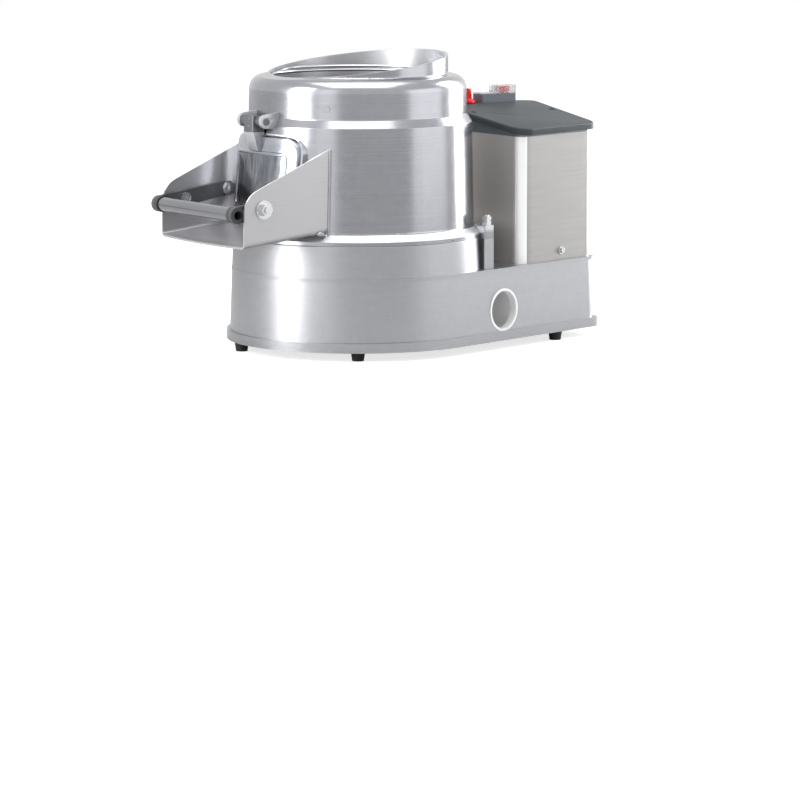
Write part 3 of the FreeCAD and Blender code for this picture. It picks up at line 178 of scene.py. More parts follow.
# Zinc plate on turned screws is the brightest metal here, under a faint milky haze 2 mm across.
zinc_plate, tree, shader = new_finish("bright zinc-plated steel", Metallic=1.0)
haze = object_pattern(tree, "ShaderNodeTexNoise", 2, 2, 2, Detail=4.0)
wear_in(tree, shader, haze, rough=(0.16, 0.34), shades=("#c2c4c6", "#dfe0e0"), relief_mm=0.03)
dress(
    zinc_plate, "foot_screws", "clamp_studs", "clamp_nuts", "pivot_bolts", "pivot_washers", "pivot_nuts",
    "rear_bolts", "housing_screws", "cover_screws", "motor_bolts",
)

# Drain sleeve: short length of white waste pipe pushed into the wall of the base, cut square and
# deburred. Extruded PVC has a soft gloss with faint draw lines, drawn 1.4 mm apart so that they show.
white_pipe, tree, shader = new_finish("extruded white PVC pipe")
draw_lines = object_pattern(tree, "ShaderNodeTexNoise", 11.11, 11.11, 1.429, Detail=2.0)
wear_in(tree, shader, draw_lines, rough=(0.28, 0.4), shades=("#eceded", "#f7f7f6"), relief_mm=0.04)
dress(white_pipe, "drain_sleeve")

# Vessel casting: chill-cast aluminium drum with a flange, a step and an obliquely cut filling neck. It is
# turned on a lathe outside, so tool marks run round it, and bead-blasted inside, where the lining is glued.
AXIS_Y = -0.05
FLANGE_SLOPE_TOP = 0.1815

# Turned aluminium mirrors in bands drawn out by the tool marks, under clouds about 17 mm across. The
# marks are drawn 1.1 mm apart, coarser than the real 0.2 mm feed, so that they show.
turned_cast, tree, shader = new_finish("turned cast aluminium", Metallic=1.0)
tool_marks = object_pattern(tree, "ShaderNodeTexNoise", 200, 200, 1.111, Detail=3.0, Roughness=0.55)
cloud = object_pattern(tree, "ShaderNodeTexNoise", 16.67, 16.67, 16.67, Detail=4.0, Roughness=0.6)
blend = add_node(
    tree, "ShaderNodeMix", {"Factor": 0.5}, links={"A": (tool_marks, "Fac"), "B": (cloud, "Fac")}
)
wear_in(tree, shader, blend, rough=(0.15, 0.27), shades=("#96979c", "#acadb2"), relief_mm=0.1)
# The blasted inside, where faces look back at the drum's axis, is too dull to mirror, and is painted paler
# as painted light in the shaded bore.
place = add_node(tree, "ShaderNodeTexCoord")
from_axis = add_node(
    tree, "ShaderNodeVectorMath", {1: (0, -AXIS_Y, 0)}, {"operation": "ADD"}, {0: (place, "Object")}
)
level = add_node(
    tree, "ShaderNodeVectorMath", {1: (1, 1, 0)}, {"operation": "MULTIPLY"}, {0: (from_axis, 0)}
)
outward = add_node(
    tree, "ShaderNodeVectorMath", settings={"operation": "DOT_PRODUCT"},
    links={0: (level, 0), 1: (place, "Normal")},
)
painted_light_inside_drum = add_node(
    tree, "ShaderNodeMath", {1: -0.01}, {"operation": "LESS_THAN"}, {0: (outward, "Value")}
)
finish_where(tree, shader, painted_light_inside_drum, rough=(0.3, 0.45), shade="#cacbce")
# The flange's upper side, a slope from z 167 to 181 mm, is faced with a broad tool and satin, and is painted
# pale where it faces up, as a painted highlight.
heights = add_node(tree, "ShaderNodeSeparateXYZ", links={0: (place, "Object")})
facing = add_node(tree, "ShaderNodeSeparateXYZ", links={0: (place, "Normal")})
low_down = add_node(
    tree, "ShaderNodeMath", {1: FLANGE_SLOPE_TOP}, {"operation": "LESS_THAN"}, {0: (heights, "Z")}
)
upward = add_node(tree, "ShaderNodeMath", {1: 0.6}, {"operation": "GREATER_THAN"}, {0: (facing, "Z")})
painted_highlight_flange = add_node(
    tree, "ShaderNodeMath", settings={"operation": "MULTIPLY"}, links={0: (low_down, 0), 1: (upward, 0)}
)
finish_where(tree, shader, painted_highlight_flange, rough=(0.45, 0.55), shade="#dfe0e3")
dress(turned_cast, "vessel_casting", "vessel_plug")

# Door frame, hinge ears and clamp hooks: aluminium castings. The frame and the ears are machined flat and
# left satin, and the hooks are as bright as the drum. Ears and hooks have their edges broken with a file,
# so a thin line of light runs along them.
BROKEN_EDGE = 0.0009


def add_piece(name, shell, material, body):
    """Turns a bmesh into a piece on a body, smooth except where faces meet at more than 35 degrees."""
    bmesh.ops.recalc_face_normals(shell, faces=shell.faces)
    for face in shell.faces:
        face.smooth = True
    for edge in shell.edges:
        edge.smooth = len(edge.link_faces) == 2 and edge.calc_face_angle() < math.radians(35)
    mesh = bpy.data.meshes.new(name)
    shell.to_mesh(mesh)
    shell.free()
    mesh.materials.append(material)
    piece = bpy.data.objects.new(name, mesh)
    bpy.context.scene.collection.objects.link(piece)
    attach(piece, body)
    return piece


def merged_copy(name):
    """A CAD node's mesh with its loose triangles joined and its flat faces whole again."""
    shell = bmesh.new()
    shell.from_mesh(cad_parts[name].data)
    bmesh.ops.remove_doubles(shell, verts=shell.verts, dist=2e-6)
    bmesh.ops.dissolve_limit(
        shell, angle_limit=math.radians(1), verts=list(shell.verts), edges=list(shell.edges)
    )
    return shell


def broken_edges(node, material):
    """Puts a copy with its sharp edges rounded in the place of a node that stands still."""
    shell = merged_copy(node)
    sharp = [
        edge for edge in shell.edges
        if len(edge.link_faces) == 2 and edge.calc_face_angle() > math.radians(50)
    ]
    bmesh.ops.bevel(
        shell, geom=sharp, offset=BROKEN_EDGE, offset_type="OFFSET", segments=2, profile=0.5,
        affect="EDGES", material=-1, clamp_overlap=True,
    )
    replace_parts(add_piece(f"softened_{node}", shell, material, "machine"), node)


# Faced metal is paler and duller than the turned drum, with fine marks about 1 to 3 mm apart.
faced_cast, tree, shader = new_finish("faced cast aluminium", Metallic=0.8)
facing_marks = object_pattern(tree, "ShaderNodeTexNoise", 3.333, 3.333, 1.111, Detail=3.0)
wear_in(tree, shader, facing_marks, rough=(0.28, 0.42), shades=("#b4b5b9", "#cfd0d3"), relief_mm=0.06)
dress(faced_cast, "door_frame")
broken_edges("hinge_ears", faced_cast)
broken_edges("clamp_hooks", turned_cast)

# Neck collar: a spun aluminium ring pressed into the neck from above, with two rolled beads and a plain
# skirt that hangs a little into the drum, so that peel can't lodge in the corner under the shoulder.
NECK_BORE = 0.129
NECK_SLANT = math.radians(6.9)
COLLAR_FIT = 0.0003
COLLAR_TOP = 0.4085
COLLAR_FOOT = 0.384
COLLAR_SHEET = 0.0012
COLLAR_CUT_Z = 0.4106
ROLL_RADIUS = 0.0021
ROLL_HEIGHTS = (COLLAR_TOP - 1.4 * ROLL_RADIUS, COLLAR_TOP - 4.0 * ROLL_RADIUS)


def chain(shell, points, closed=False):
    """Chain of edges through a few points, with its ends joined where it is closed."""
    corners = [shell.verts.new(point) for point in points]
    edges = [shell.edges.new(pair) for pair in zip(corners, corners[1:])]
    if closed:
        edges.append(shell.edges.new((corners[0], corners[-1])))
    return corners + edges


collar_wall = [(0, COLLAR_TOP)]
for roll_z in ROLL_HEIGHTS:
    for turn in range(0, 181, 30):
        swell = ROLL_RADIUS * math.sin(math.radians(turn))
        collar_wall.append((swell, roll_z + ROLL_RADIUS * math.cos(math.radians(turn))))
collar_wall += [
    (0, COLLAR_FOOT), (-COLLAR_SHEET, COLLAR_FOOT), (-COLLAR_SHEET, COLLAR_TOP), (0, COLLAR_TOP),
]
collar = bmesh.new()
profile = chain(collar, [(NECK_BORE - COLLAR_FIT - swell, AXIS_Y, z) for swell, z in collar_wall])
bmesh.ops.spin(
    collar, geom=profile, cent=(0, AXIS_Y, 0), axis=(0, 0, 1), angle=math.radians(360), steps=96,
    use_merge=True,
)
bmesh.ops.remove_doubles(collar, verts=collar.verts, dist=1e-6)
# The neck's rim slants up to the rear, so the front of the collar is cut along it, 7 mm lower.
bmesh.ops.bisect_plane(
    collar, geom=list(collar.verts) + list(collar.edges) + list(collar.faces),
    plane_co=(0, AXIS_Y, COLLAR_CUT_Z), plane_no=(0, -math.sin(NECK_SLANT), math.cos(NECK_SLANT)),
    clear_outer=True,
)
bmesh.ops.holes_fill(collar, edges=list(collar.edges), sides=0)
add_piece("neck_collar", collar, turned_cast, "machine")

# Flange pips: small bosses on the edge of the flange that line the vessel up with the base. They are
# cast with the drum, so they have its metal and taper a little outwards.
FLANGE_RADIUS = 0.1847
PIP_Z = 0.16875
PIP_PROUD = 0.0009
PIP_LENGTH = 0.004
PIP_FOOT_RADIUS, PIP_TIP_RADIUS = 0.002, 0.0015
PIP_BEARINGS = (-45, -20, -2, 15)
for number, bearing in enumerate(PIP_BEARINGS, start=1):
    on_edge = Matrix.Translation((FLANGE_RADIUS + PIP_PROUD - PIP_LENGTH / 2, 0, 0))
    round_drum = Matrix.Translation((0, AXIS_Y, PIP_Z)) @ Matrix.Rotation(math.radians(bearing), 4, "Z")
    pip = bmesh.new()
    bmesh.ops.create_cone(
        pip, cap_ends=True, segments=16, radius1=PIP_FOOT_RADIUS, radius2=PIP_TIP_RADIUS, depth=PIP_LENGTH,
        matrix=round_drum @ on_edge @ Matrix.Rotation(math.radians(90), 4, "Y"),
    )
    add_piece(f"flange_pip_{number}", pip, turned_cast, "machine")

# Abrasive lining and disc: silicon carbide grit bonded in resin, dark with bright facets.
# Grit of about 1.5 mm is drawn at its own size.
bonded_grit, tree, shader = new_finish("bonded silicon carbide grit")
grit = object_pattern(tree, "ShaderNodeTexVoronoi", 1.538, 1.538, 1.538)
wear_in(tree, shader, grit, rough=(0.35, 0.9), shades=("#3b3836", "#77726c"), relief_mm=0.6)
dress(bonded_grit, "abrasive_disc", "abrasive_liner")

# Door: pressure-cast aluminium pan that follows the drum's curve, with a bead round a sunk panel and a lip
# behind that fits the opening. It hangs from the hinge arm and is polished on the outside.
DOOR_RADIUS = 0.1765
DOOR_BACK_Y = -0.2023
DOOR_TILT = math.radians(-5.6)
DOOR_SEAT = (0, -0.202, 0.303)
# Each outline gives half the width, the bottom, the top and the corner's radius.
DOOR_OUTLINE = (0.0825, 0.198, 0.317, 0.024)
BEAD_OUTLINE = (0.067, 0.211, 0.295, 0.010)
LIP_OUTLINE = (0.060, 0.210, 0.298, 0.010)
LIP_WALL = 0.003
LIP_HEIGHT = 0.006
EDGE_ROUND = 0.0025
PANEL_DEPTH = 0.005
DOOR_SKIN = 0.005
# Inset and depth of the bead's section, from its outer foot over the crown and down to the panel.
BEAD_SECTION = (
    (0, 0), (0.0006, -0.001), (0.0018, -0.0016), (0.0036, -0.0016), (0.005, -0.001), (0.0056, 0.0004),
    (0.0062, PANEL_DEPTH - 0.0006), (0.0072, PANEL_DEPTH),
)
# While the door is still flat, what will lie on its flat back stands this far behind the skin.
FLAT_BACK = 1.0
CUT_SPACING = 0.005
CUTS_EACH_SIDE = 16
PEG_HEIGHT = 0.003
PEG_FOOT_RADIUS, PEG_TOP_RADIUS = 0.0076, 0.0068
PEG_MIDDLE = (-0.006, AXIS_Y - DOOR_RADIUS + PANEL_DEPTH - 0.0004, 0.262)


def outline_loop(shell, half, bottom, top, corner, inset, y):
    """Rounded upright rectangle of edges, drawn inwards by an inset, at one depth."""
    size_x = half - inset
    size_z = (top - bottom) / 2 - inset
    place = Matrix.Translation((0, y, (top + bottom) / 2)) @ Matrix.Rotation(math.radians(90), 4, "X")
    grid = bmesh.ops.create_grid(
        shell, x_segments=1, y_segments=1, size=1, matrix=place @ Matrix.Diagonal((size_x, size_z, 1, 1))
    )
    bmesh.ops.bevel(
        shell, geom=grid["verts"], offset=corner - inset, offset_type="OFFSET", segments=6, profile=0.5,
        affect="VERTICES", material=-1,
    )
    edges = list(list(shell.faces)[0].edges)
    bmesh.ops.delete(shell, geom=list(shell.faces), context="FACES_ONLY")
    return edges


# Hand polishing leaves a mirror that still waves a little, about 22 mm from wave to wave.
polished_cast, tree, shader = new_finish("polished cast aluminium", Metallic=1.0)
waves = object_pattern(tree, "ShaderNodeTexNoise", 22.22, 22.22, 22.22, Detail=2.0)
wear_in(tree, shader, waves, rough=(0.14, 0.24), shades=("#979aa2", "#b0b3ba"), relief_mm=0.4)

door = bmesh.new()
rows = [
    (*LIP_OUTLINE, LIP_WALL, PANEL_DEPTH + DOOR_SKIN),
    (*LIP_OUTLINE, LIP_WALL, FLAT_BACK + LIP_HEIGHT),
    (*LIP_OUTLINE, 0, FLAT_BACK + LIP_HEIGHT),
    (*LIP_OUTLINE, 0, FLAT_BACK),
    (*DOOR_OUTLINE, 0, FLAT_BACK),
]
for turn in range(0, 91, 30):
    inset = EDGE_ROUND * (1 - math.cos(math.radians(turn)))
    depth = EDGE_ROUND * (1 - math.sin(math.radians(turn)))
    rows.append((*DOOR_OUTLINE, inset, depth))
rows += [(*BEAD_OUTLINE, inset, depth) for inset, depth in BEAD_SECTION]
loops = [outline_loop(door, *row) for row in rows]
for first, second in zip(loops, loops[1:]):
    bmesh.ops.bridge_loops(door, edges=first + second)
for rim in (loops[0], loops[-1]):
    bmesh.ops.contextual_create(door, geom=rim)
# Upright cuts let the flat form bend; then the skin goes out to its radius and the back to its seat.
for step in range(-CUTS_EACH_SIDE, CUTS_EACH_SIDE + 1):
    geometry = list(door.verts) + list(door.edges) + list(door.faces)
    bmesh.ops.bisect_plane(door, geom=geometry, plane_co=(step * CUT_SPACING, 0, 0), plane_no=(1, 0, 0))
for corner in door.verts:
    if corner.co.y > FLAT_BACK / 2:
        corner.co.y += DOOR_BACK_Y - FLAT_BACK
    else:
        corner.co.y += AXIS_Y - math.sqrt(DOOR_RADIUS ** 2 - corner.co.x ** 2)
# A plain six-sided boss stands on the panel where the pattern maker's peg was.
bmesh.ops.create_cone(
    door, cap_ends=True, segments=6, radius1=PEG_FOOT_RADIUS, radius2=PEG_TOP_RADIUS, depth=PEG_HEIGHT,
    matrix=Matrix.Translation(PEG_MIDDLE) @ Matrix.Rotation(math.radians(90), 4, "X")
    @ Matrix.Rotation(math.radians(30), 4, "Z"),
)
bmesh.ops.rotate(door, cent=DOOR_SEAT, matrix=Matrix.Rotation(DOOR_TILT, 3, "X"), verts=door.verts)
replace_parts(add_piece("bowed_door", door, polished_cast, "door"), "door_pan")

# Discharge chute: stainless sheet, cut, folded once at each side and welded to the drum by its two cheeks.
# The sheet keeps its rolled grain, which lies level along it.
CHEEK_X = 0.115
CHEEK_EDGE_FROM = 0.1125

# Brushed stainless smears what it mirrors across its grain. The grain is drawn 0.7 mm apart, coarser than
# it is, so that it shows.
brushed_sheet, tree, shader = new_finish("brushed stainless sheet", Metallic=0.74)
grain = object_pattern(tree, "ShaderNodeTexNoise", 111.1, 111.1, 0.7143, Detail=3.0, Roughness=0.6)
wear_in(tree, shader, grain, rough=(0.26, 0.38), shades=("#a8a7a9", "#bfbec0"), relief_mm=0.06)
# The cut edges along the top of the chute's cheeks are sheared and dressed, and are painted white where they
# face up, as a painted highlight.
place = add_node(tree, "ShaderNodeTexCoord")
spread = add_node(
    tree, "ShaderNodeVectorMath", settings={"operation": "ABSOLUTE"}, links={0: (place, "Object")}
)
spread = add_node(tree, "ShaderNodeSeparateXYZ", links={0: (spread, 0)})
facing = add_node(tree, "ShaderNodeSeparateXYZ", links={0: (place, "Normal")})
at_cheek = add_node(
    tree, "ShaderNodeMath", {1: CHEEK_EDGE_FROM}, {"operation": "GREATER_THAN"}, {0: (spread, "X")}
)
upward = add_node(tree, "ShaderNodeMath", {1: 0.5}, {"operation": "GREATER_THAN"}, {0: (facing, "Z")})
painted_highlight_cut_edge = add_node(
    tree, "ShaderNodeMath", settings={"operation": "MULTIPLY"}, links={0: (at_cheek, 0), 1: (upward, 0)}
)
finish_where(tree, shader, painted_highlight_cut_edge, rough=(0.35, 0.45), shade="#ffffff")
dress(brushed_sheet, "chute")

# Motor housing: one piece of stainless sheet folded round the motor and held by hex screws low on both
# sides. It is of a duller grade than the chute, with the same grain.
dull_sheet, tree, shader = new_finish("dull brushed stainless sheet", Metallic=0.75)
grain = object_pattern(tree, "ShaderNodeTexNoise", 111.1, 111.1, 0.7143, Detail=3.0, Roughness=0.6)
wear_in(tree, shader, grain, rough=(0.24, 0.36), shades=("#959493", "#abaaa9"), relief_mm=0.06)
facing = add_node(
    tree, "ShaderNodeSeparateXYZ", links={0: (add_node(tree, "ShaderNodeTexCoord"), "Normal")}
)
# Where the sheet turns from its front to its near side, the bend is stretched and scatters more, and is
# painted white as a painted highlight.
turned = add_node(tree, "ShaderNodeMath", {1: -0.22}, {"operation": "LESS_THAN"}, {0: (facing, "Y")})
sideways = add_node(tree, "ShaderNodeMath", {1: 0.3}, {"operation": "GREATER_THAN"}, {0: (facing, "X")})
painted_highlight_bend = add_node(
    tree, "ShaderNodeMath", settings={"operation": "MULTIPLY"}, links={0: (turned, 0), 1: (sideways, 0)}
)
finish_where(tree, shader, painted_highlight_bend, rough=(0.42, 0.52), shade="#ffffff")
# The front, which stands in the drum's shade, was rubbed with a coarser pad, and is painted paler as painted
# light against that shade.
painted_light_front = add_node(tree, "ShaderNodeMath", {1: -0.95}, {"operation": "LESS_THAN"}, {0: (facing, "Y")})
finish_where(tree, shader, painted_light_front, rough=(0.5, 0.6), shade="#d6d2cd")
dress(dull_sheet, "motor_housing")

# Hinge arm: steel wedge folded over the hinge pin, upright by its knuckle and leaning down onto the
# door's bead, where it is welded. Two dome rivets close the fold.
PIN_Y, PIN_Z = -0.229, 0.340
ARM_HALF = 0.012
ARM_FACE_Y = PIN_Y - 0.0103
ARM_BREAK_Z = 0.3245
ARM_ROUND = 0.0011
# Depth and height of the arm's side view, from behind the pin over the top and round by the front.
ARM_SIDE = (
    (PIN_Y + 0.004, 0.3484), (ARM_FACE_Y, 0.3495), (ARM_FACE_Y, ARM_BREAK_Z), (-0.2314, 0.2968),
    (-0.2262, 0.2968), (-0.2195, 0.3165), (-0.2195, 0.331), (PIN_Y + 0.0084, PIN_Z),
)
KNUCKLE_HALF = 0.0259
KNUCKLE_RADIUS = 0.0078
RIVET_HEIGHTS = (PIN_Z - 0.0075, PIN_Z + 0.0035)
RIVET_RADIUS = 0.0023
RIVET_SINK = 0.0003
RIVET_FLATNESS = 0.4

# Folded plate is satin, with rolling marks upright along the arm. Round the pin it is painted dark, as
# painted shade.
arm_steel, tree, shader = new_finish("folded steel plate", Metallic=0.85)
rolled = object_pattern(tree, "ShaderNodeTexNoise", 2, 2, 8.333, Detail=3.0)
wear_in(tree, shader, rolled, rough=(0.26, 0.4), shades=("#b3b4b8", "#cbccd0"), relief_mm=0.05)
heights = add_node(
    tree, "ShaderNodeSeparateXYZ", links={0: (add_node(tree, "ShaderNodeTexCoord"), "Object")}
)
painted_shade_by_pin = add_node(
    tree, "ShaderNodeMath", {1: ARM_BREAK_Z}, {"operation": "GREATER_THAN"}, {0: (heights, "Z")}
)
finish_where(tree, shader, painted_shade_by_pin, rough=(0.35, 0.5), shade="#6f7174")
dress(arm_steel, "hinge_pin")

arm = bmesh.new()
chain(arm, [(-ARM_HALF, y, z) for y, z in ARM_SIDE], closed=True)
flank = bmesh.ops.contextual_create(arm, geom=list(arm.edges))["faces"]
across = bmesh.ops.extrude_face_region(arm, geom=flank, use_keep_orig=True)["geom"]
moved = [corner for corner in across if isinstance(corner, bmesh.types.BMVert)]
bmesh.ops.translate(arm, vec=(2 * ARM_HALF, 0, 0), verts=moved)
bmesh.ops.bevel(
    arm, geom=list(arm.edges), offset=ARM_ROUND, offset_type="OFFSET", segments=3, profile=0.5,
    affect="EDGES", material=-1,
)
along_pin = Matrix.Translation((0, PIN_Y, PIN_Z)) @ Matrix.Rotation(math.radians(90), 4, "Y")
bmesh.ops.create_cone(
    arm, cap_ends=True, segments=32, radius1=KNUCKLE_RADIUS, radius2=KNUCKLE_RADIUS,
    depth=2 * KNUCKLE_HALF, matrix=along_pin,
)
for rivet_z in RIVET_HEIGHTS:
    on_face = Matrix.Translation((0, ARM_FACE_Y + RIVET_SINK, rivet_z))
    bmesh.ops.create_uvsphere(
        arm, u_segments=16, v_segments=10, radius=RIVET_RADIUS,
        matrix=on_face @ Matrix.Diagonal((1, RIVET_FLATNESS, 1, 1)),
    )
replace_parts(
    add_piece("hinge_arm", arm, arm_steel, "door"), "hinge_strap", "strap_rivets"
)

# Chute welds: a rippled bead of stainless filler where each cheek meets the drum, and a blob where the
# welder stopped at its lower corner. Both are left as laid.
WELD_RADIUS = 0.0022
WELD_FOOT = Vector((CHEEK_X, AXIS_Y - 0.1266, 0.1805))
WELD_TOP = Vector((CHEEK_X, AXIS_Y - 0.1232, 0.3028))
RIPPLES = 48
RIPPLE_SWELL = 0.06
BLOB_RADIUS = 0.0048
BLOB_AT = WELD_FOOT + Vector((-0.002, -0.012, 0.0025))
BLOB_STRETCH = (1, 1.5, 0.8, 1)

# Weld metal is a little greyer than the sheet and uneven, with patches of heat tint 4.5 mm across.
weld_steel, tree, shader = new_finish("stainless weld bead", Metallic=1.0)
heat_tint = object_pattern(tree, "ShaderNodeTexNoise", 4.545, 4.545, 4.545, Detail=3.0)
wear_in(tree, shader, heat_tint, rough=(0.22, 0.4), shades=("#97989c", "#b4b5b8"), relief_mm=0.3)

for side_name, side in (("near", 1), ("far", -1)):
    weld = bmesh.new()
    run = WELD_TOP - WELD_FOOT
    upright = run.to_track_quat("Z", "Y").to_matrix().to_4x4()
    bmesh.ops.create_cone(
        weld, cap_ends=True, segments=12, radius1=WELD_RADIUS, radius2=WELD_RADIUS, depth=run.length,
    )
    lengthwise = [
        edge for edge in weld.edges if abs(edge.verts[0].co.z - edge.verts[1].co.z) > run.length / 2
    ]
    bmesh.ops.subdivide_edges(weld, edges=lengthwise, cuts=2 * RIPPLES - 1, use_grid_fill=True)
    for corner in weld.verts:
        wave = math.cos(2 * math.pi * RIPPLES * corner.co.z / run.length)
        corner.co.x *= 1 + RIPPLE_SWELL * wave
        corner.co.y *= 1 + RIPPLE_SWELL * wave
    bmesh.ops.transform(
        weld, matrix=Matrix.Translation((WELD_FOOT + WELD_TOP) / 2) @ upright, verts=weld.verts
    )
    bmesh.ops.create_icosphere(
        weld, subdivisions=3, radius=BLOB_RADIUS,
        matrix=Matrix.Translation(BLOB_AT) @ Matrix.Diagonal(BLOB_STRETCH),
    )
    bmesh.ops.scale(weld, vec=(side, 1, 1), verts=weld.verts)
    add_piece(f"cheek_weld_{side_name}", weld, weld_steel, "machine")

# Bail: a drawn steel tube between two flat bars, which are punched and powder coated dark grey. It
# swings on bolts through the chute's cheeks, and when it is up it holds the door shut.

# The tube comes bright from the die, with draw lines along it that are drawn 1.1 mm apart to show.
drawn_tube, tree, shader = new_finish("drawn steel tube", Metallic=1.0)
die_lines = object_pattern(tree, "ShaderNodeTexNoise", 83.33, 1.111, 1.111, Detail=3.0)
wear_in(tree, shader, die_lines, rough=(0.12, 0.24), shades=("#808184", "#98999c"), relief_mm=0.05)
dress(drawn_tube, "bail_tube")

# Powder coat melts to a dark satin skin, pebbled every 1.4 mm.
coated_bar, tree, shader = new_finish("dark powder-coated steel")
coat = object_pattern(tree, "ShaderNodeTexNoise", 1.429, 1.429, 1.429, Detail=3.0)
wear_in(tree, shader, coat, rough=(0.34, 0.5), shades=("#3c3e41", "#4a4c50"), relief_mm=0.06)
dress(coated_bar, "bail_arms")

# Small dark mouldings: the bail's end bushes, the cable gland, the timer's body, the capacitor's can and
# the fan's cowl. They are injection moulded in black nylon, which is satin with a grain of 1.7 mm.
black_nylon, tree, shader = new_finish("moulded black nylon", Specular_IOR_Level=0.45)
moulding = object_pattern(tree, "ShaderNodeTexNoise", 1.667, 1.667, 1.667, Detail=4.0)
wear_in(tree, shader, moulding, rough=(0.4, 0.6), shades=("#2a2b2d", "#3a3b3e"), relief_mm=0.04)
dress(black_nylon, "bail_bushes", "cable_gland", "timer_body", "capacitor", "fan_cowl")

# Cover: dark grey ABS, injection moulded with a two-slope top and a deep lip, and held down by two
# screws sunk in wells. Its CAD form is kept, and only its top edge and the foot of its lip are reworked.
COVER_TOP_Z = 0.344
COVER_FALL = 0.0247
COVER_FRONT_Y, COVER_REAR_Y = 0.133, 0.338
COVER_FRONT_HALF, COVER_REAR_HALF = 0.142, 0.095
RIDGE_X = -0.066
COVER_ROUND = 0.0028
COVER_LIP = 0.0105
COVER_LIP_FOOT_BELOW = 0.3105
SCREW_WELLS = ((-0.006, 0.162), (-0.006, 0.308))
KNOB_HOLE = (-0.086, 0.198)
HOLE_CLEARANCE = 0.009


def cover_top(x, y):
    """Height of the cover's top: level up to the ridge, then falling to an even near edge."""
    along = (y - COVER_FRONT_Y) / (COVER_REAR_Y - COVER_FRONT_Y)
    edge_x = COVER_FRONT_HALF - along * (COVER_FRONT_HALF - COVER_REAR_HALF)
    return COVER_TOP_Z - COVER_FALL * max(0.0, x - RIDGE_X) / (edge_x - RIDGE_X)


# The spark-eroded mould gives a fine even grain, drawn 1.1 mm apart, that shines softly on the slopes.
grained_cover, tree, shader = new_finish("textured dark grey ABS", Specular_IOR_Level=0.15)
texture = object_pattern(tree, "ShaderNodeTexNoise", 1.111, 1.111, 1.111, Detail=3.0)
wear_in(tree, shader, texture, rough=(0.42, 0.56), shades=("#383c3f", "#454a4d"), relief_mm=0.08)

# Only the edges between the top and the outer walls are rounded, not those of the wells and holes.
rounded_cover = merged_copy("cover")
top_edges = []
for edge in rounded_cover.edges:
    lean = sorted(face.normal.z for face in edge.link_faces)
    middle = (edge.verts[0].co + edge.verts[1].co) / 2
    clear = all(math.dist(middle.xy, hole) > HOLE_CLEARANCE for hole in SCREW_WELLS + (KNOB_HOLE,))
    if len(lean) == 2 and lean[1] > 0.9 and abs(lean[0]) < 0.2 and clear:
        top_edges.append(edge)
bmesh.ops.bevel(
    rounded_cover, geom=top_edges, offset=COVER_ROUND, offset_type="OFFSET", segments=4, profile=0.5,
    affect="EDGES", material=-1,
)
# The lip is as deep all along the slope, so its lower edge rises with the top.
bmesh.ops.bisect_plane(
    rounded_cover, geom=list(rounded_cover.verts) + list(rounded_cover.edges) + list(rounded_cover.faces),
    plane_co=(RIDGE_X, 0, 0), plane_no=(1, 0, 0),
)
for corner in rounded_cover.verts:
    if corner.co.z < COVER_LIP_FOOT_BELOW:
        corner.co.z = max(corner.co.z, cover_top(corner.co.x, corner.co.y) - COVER_LIP)
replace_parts(add_piece("rounded_cover", rounded_cover, grained_cover, "machine"), "cover")

# Cover skirt: inner band moulded in blue-grey ABS that drops over the sheet to a level edge. Its top stays
# under the cover's slope, so it shows along the far side and the rear, and from near only at the drum's
# corner.
SKIRT_FOOT = 0.308
SKIRT_HEIGHT = 0.04
SKIRT_PROUD = 0.0007
SKIRT_WALL = 0.002
SKIRT_UNDER_TOP = 0.004
SKIRT_SLOPE = 0.1318
HOUSING_FRONT_Y, HOUSING_REAR_Y = 0.153, 0.318
HOUSING_FRONT_HALF, HOUSING_REAR_HALF = 0.132, 0.085
HOUSING_CORNER = 0.018

# It is smoother than the cover, so it has a satin shine over a grain drawn 1.25 mm apart.
blue_grey, tree, shader = new_finish("satin blue-grey ABS", Specular_IOR_Level=0.3)
skirt_texture = object_pattern(tree, "ShaderNodeTexNoise", 1.25, 1.25, 1.25, Detail=3.0)
wear_in(tree, shader, skirt_texture, rough=(0.36, 0.5), shades=("#5f686d", "#6d767b"), relief_mm=0.06)

skirt = bmesh.new()
chain(skirt, [
    (HOUSING_FRONT_HALF + SKIRT_PROUD, HOUSING_FRONT_Y - SKIRT_PROUD, SKIRT_FOOT),
    (HOUSING_REAR_HALF + SKIRT_PROUD, HOUSING_REAR_Y + SKIRT_PROUD, SKIRT_FOOT),
    (-HOUSING_REAR_HALF - SKIRT_PROUD, HOUSING_REAR_Y + SKIRT_PROUD, SKIRT_FOOT),
    (-HOUSING_FRONT_HALF - SKIRT_PROUD, HOUSING_FRONT_Y - SKIRT_PROUD, SKIRT_FOOT),
], closed=True)
bmesh.ops.contextual_create(skirt, geom=list(skirt.edges))
bmesh.ops.bevel(
    skirt, geom=list(skirt.verts), offset=HOUSING_CORNER, offset_type="OFFSET", segments=8, profile=0.5,
    affect="VERTICES", material=-1,
)
plan = list(skirt.faces)
rim = bmesh.ops.extrude_edge_only(skirt, edges=list(plan[0].edges))["geom"]
bmesh.ops.delete(skirt, geom=plan, context="FACES_ONLY")
raised = [corner for corner in rim if isinstance(corner, bmesh.types.BMVert)]
bmesh.ops.translate(skirt, vec=(0, 0, SKIRT_HEIGHT), verts=raised)
# The skirt's top is cut down the slope and, left of the ridge, level under the cover's top.
for cut_up in ((SKIRT_SLOPE, 0, 1), (0, 0, 1)):
    bmesh.ops.bisect_plane(
        skirt, geom=list(skirt.verts) + list(skirt.edges) + list(skirt.faces),
        plane_co=(RIDGE_X, 0, COVER_TOP_Z - SKIRT_UNDER_TOP), plane_no=cut_up, clear_outer=True,
    )
bmesh.ops.recalc_face_normals(skirt, faces=skirt.faces)
bmesh.ops.solidify(skirt, geom=list(skirt.faces), thickness=SKIRT_WALL)
add_piece("cover_skirt", skirt, blue_grey, "machine")

# Controls: a switch box with two push buttons under a clear boot, and a timer knob on its shaft. Box,
# buttons and knob are injection moulded in ABS; the boot is soft vinyl.

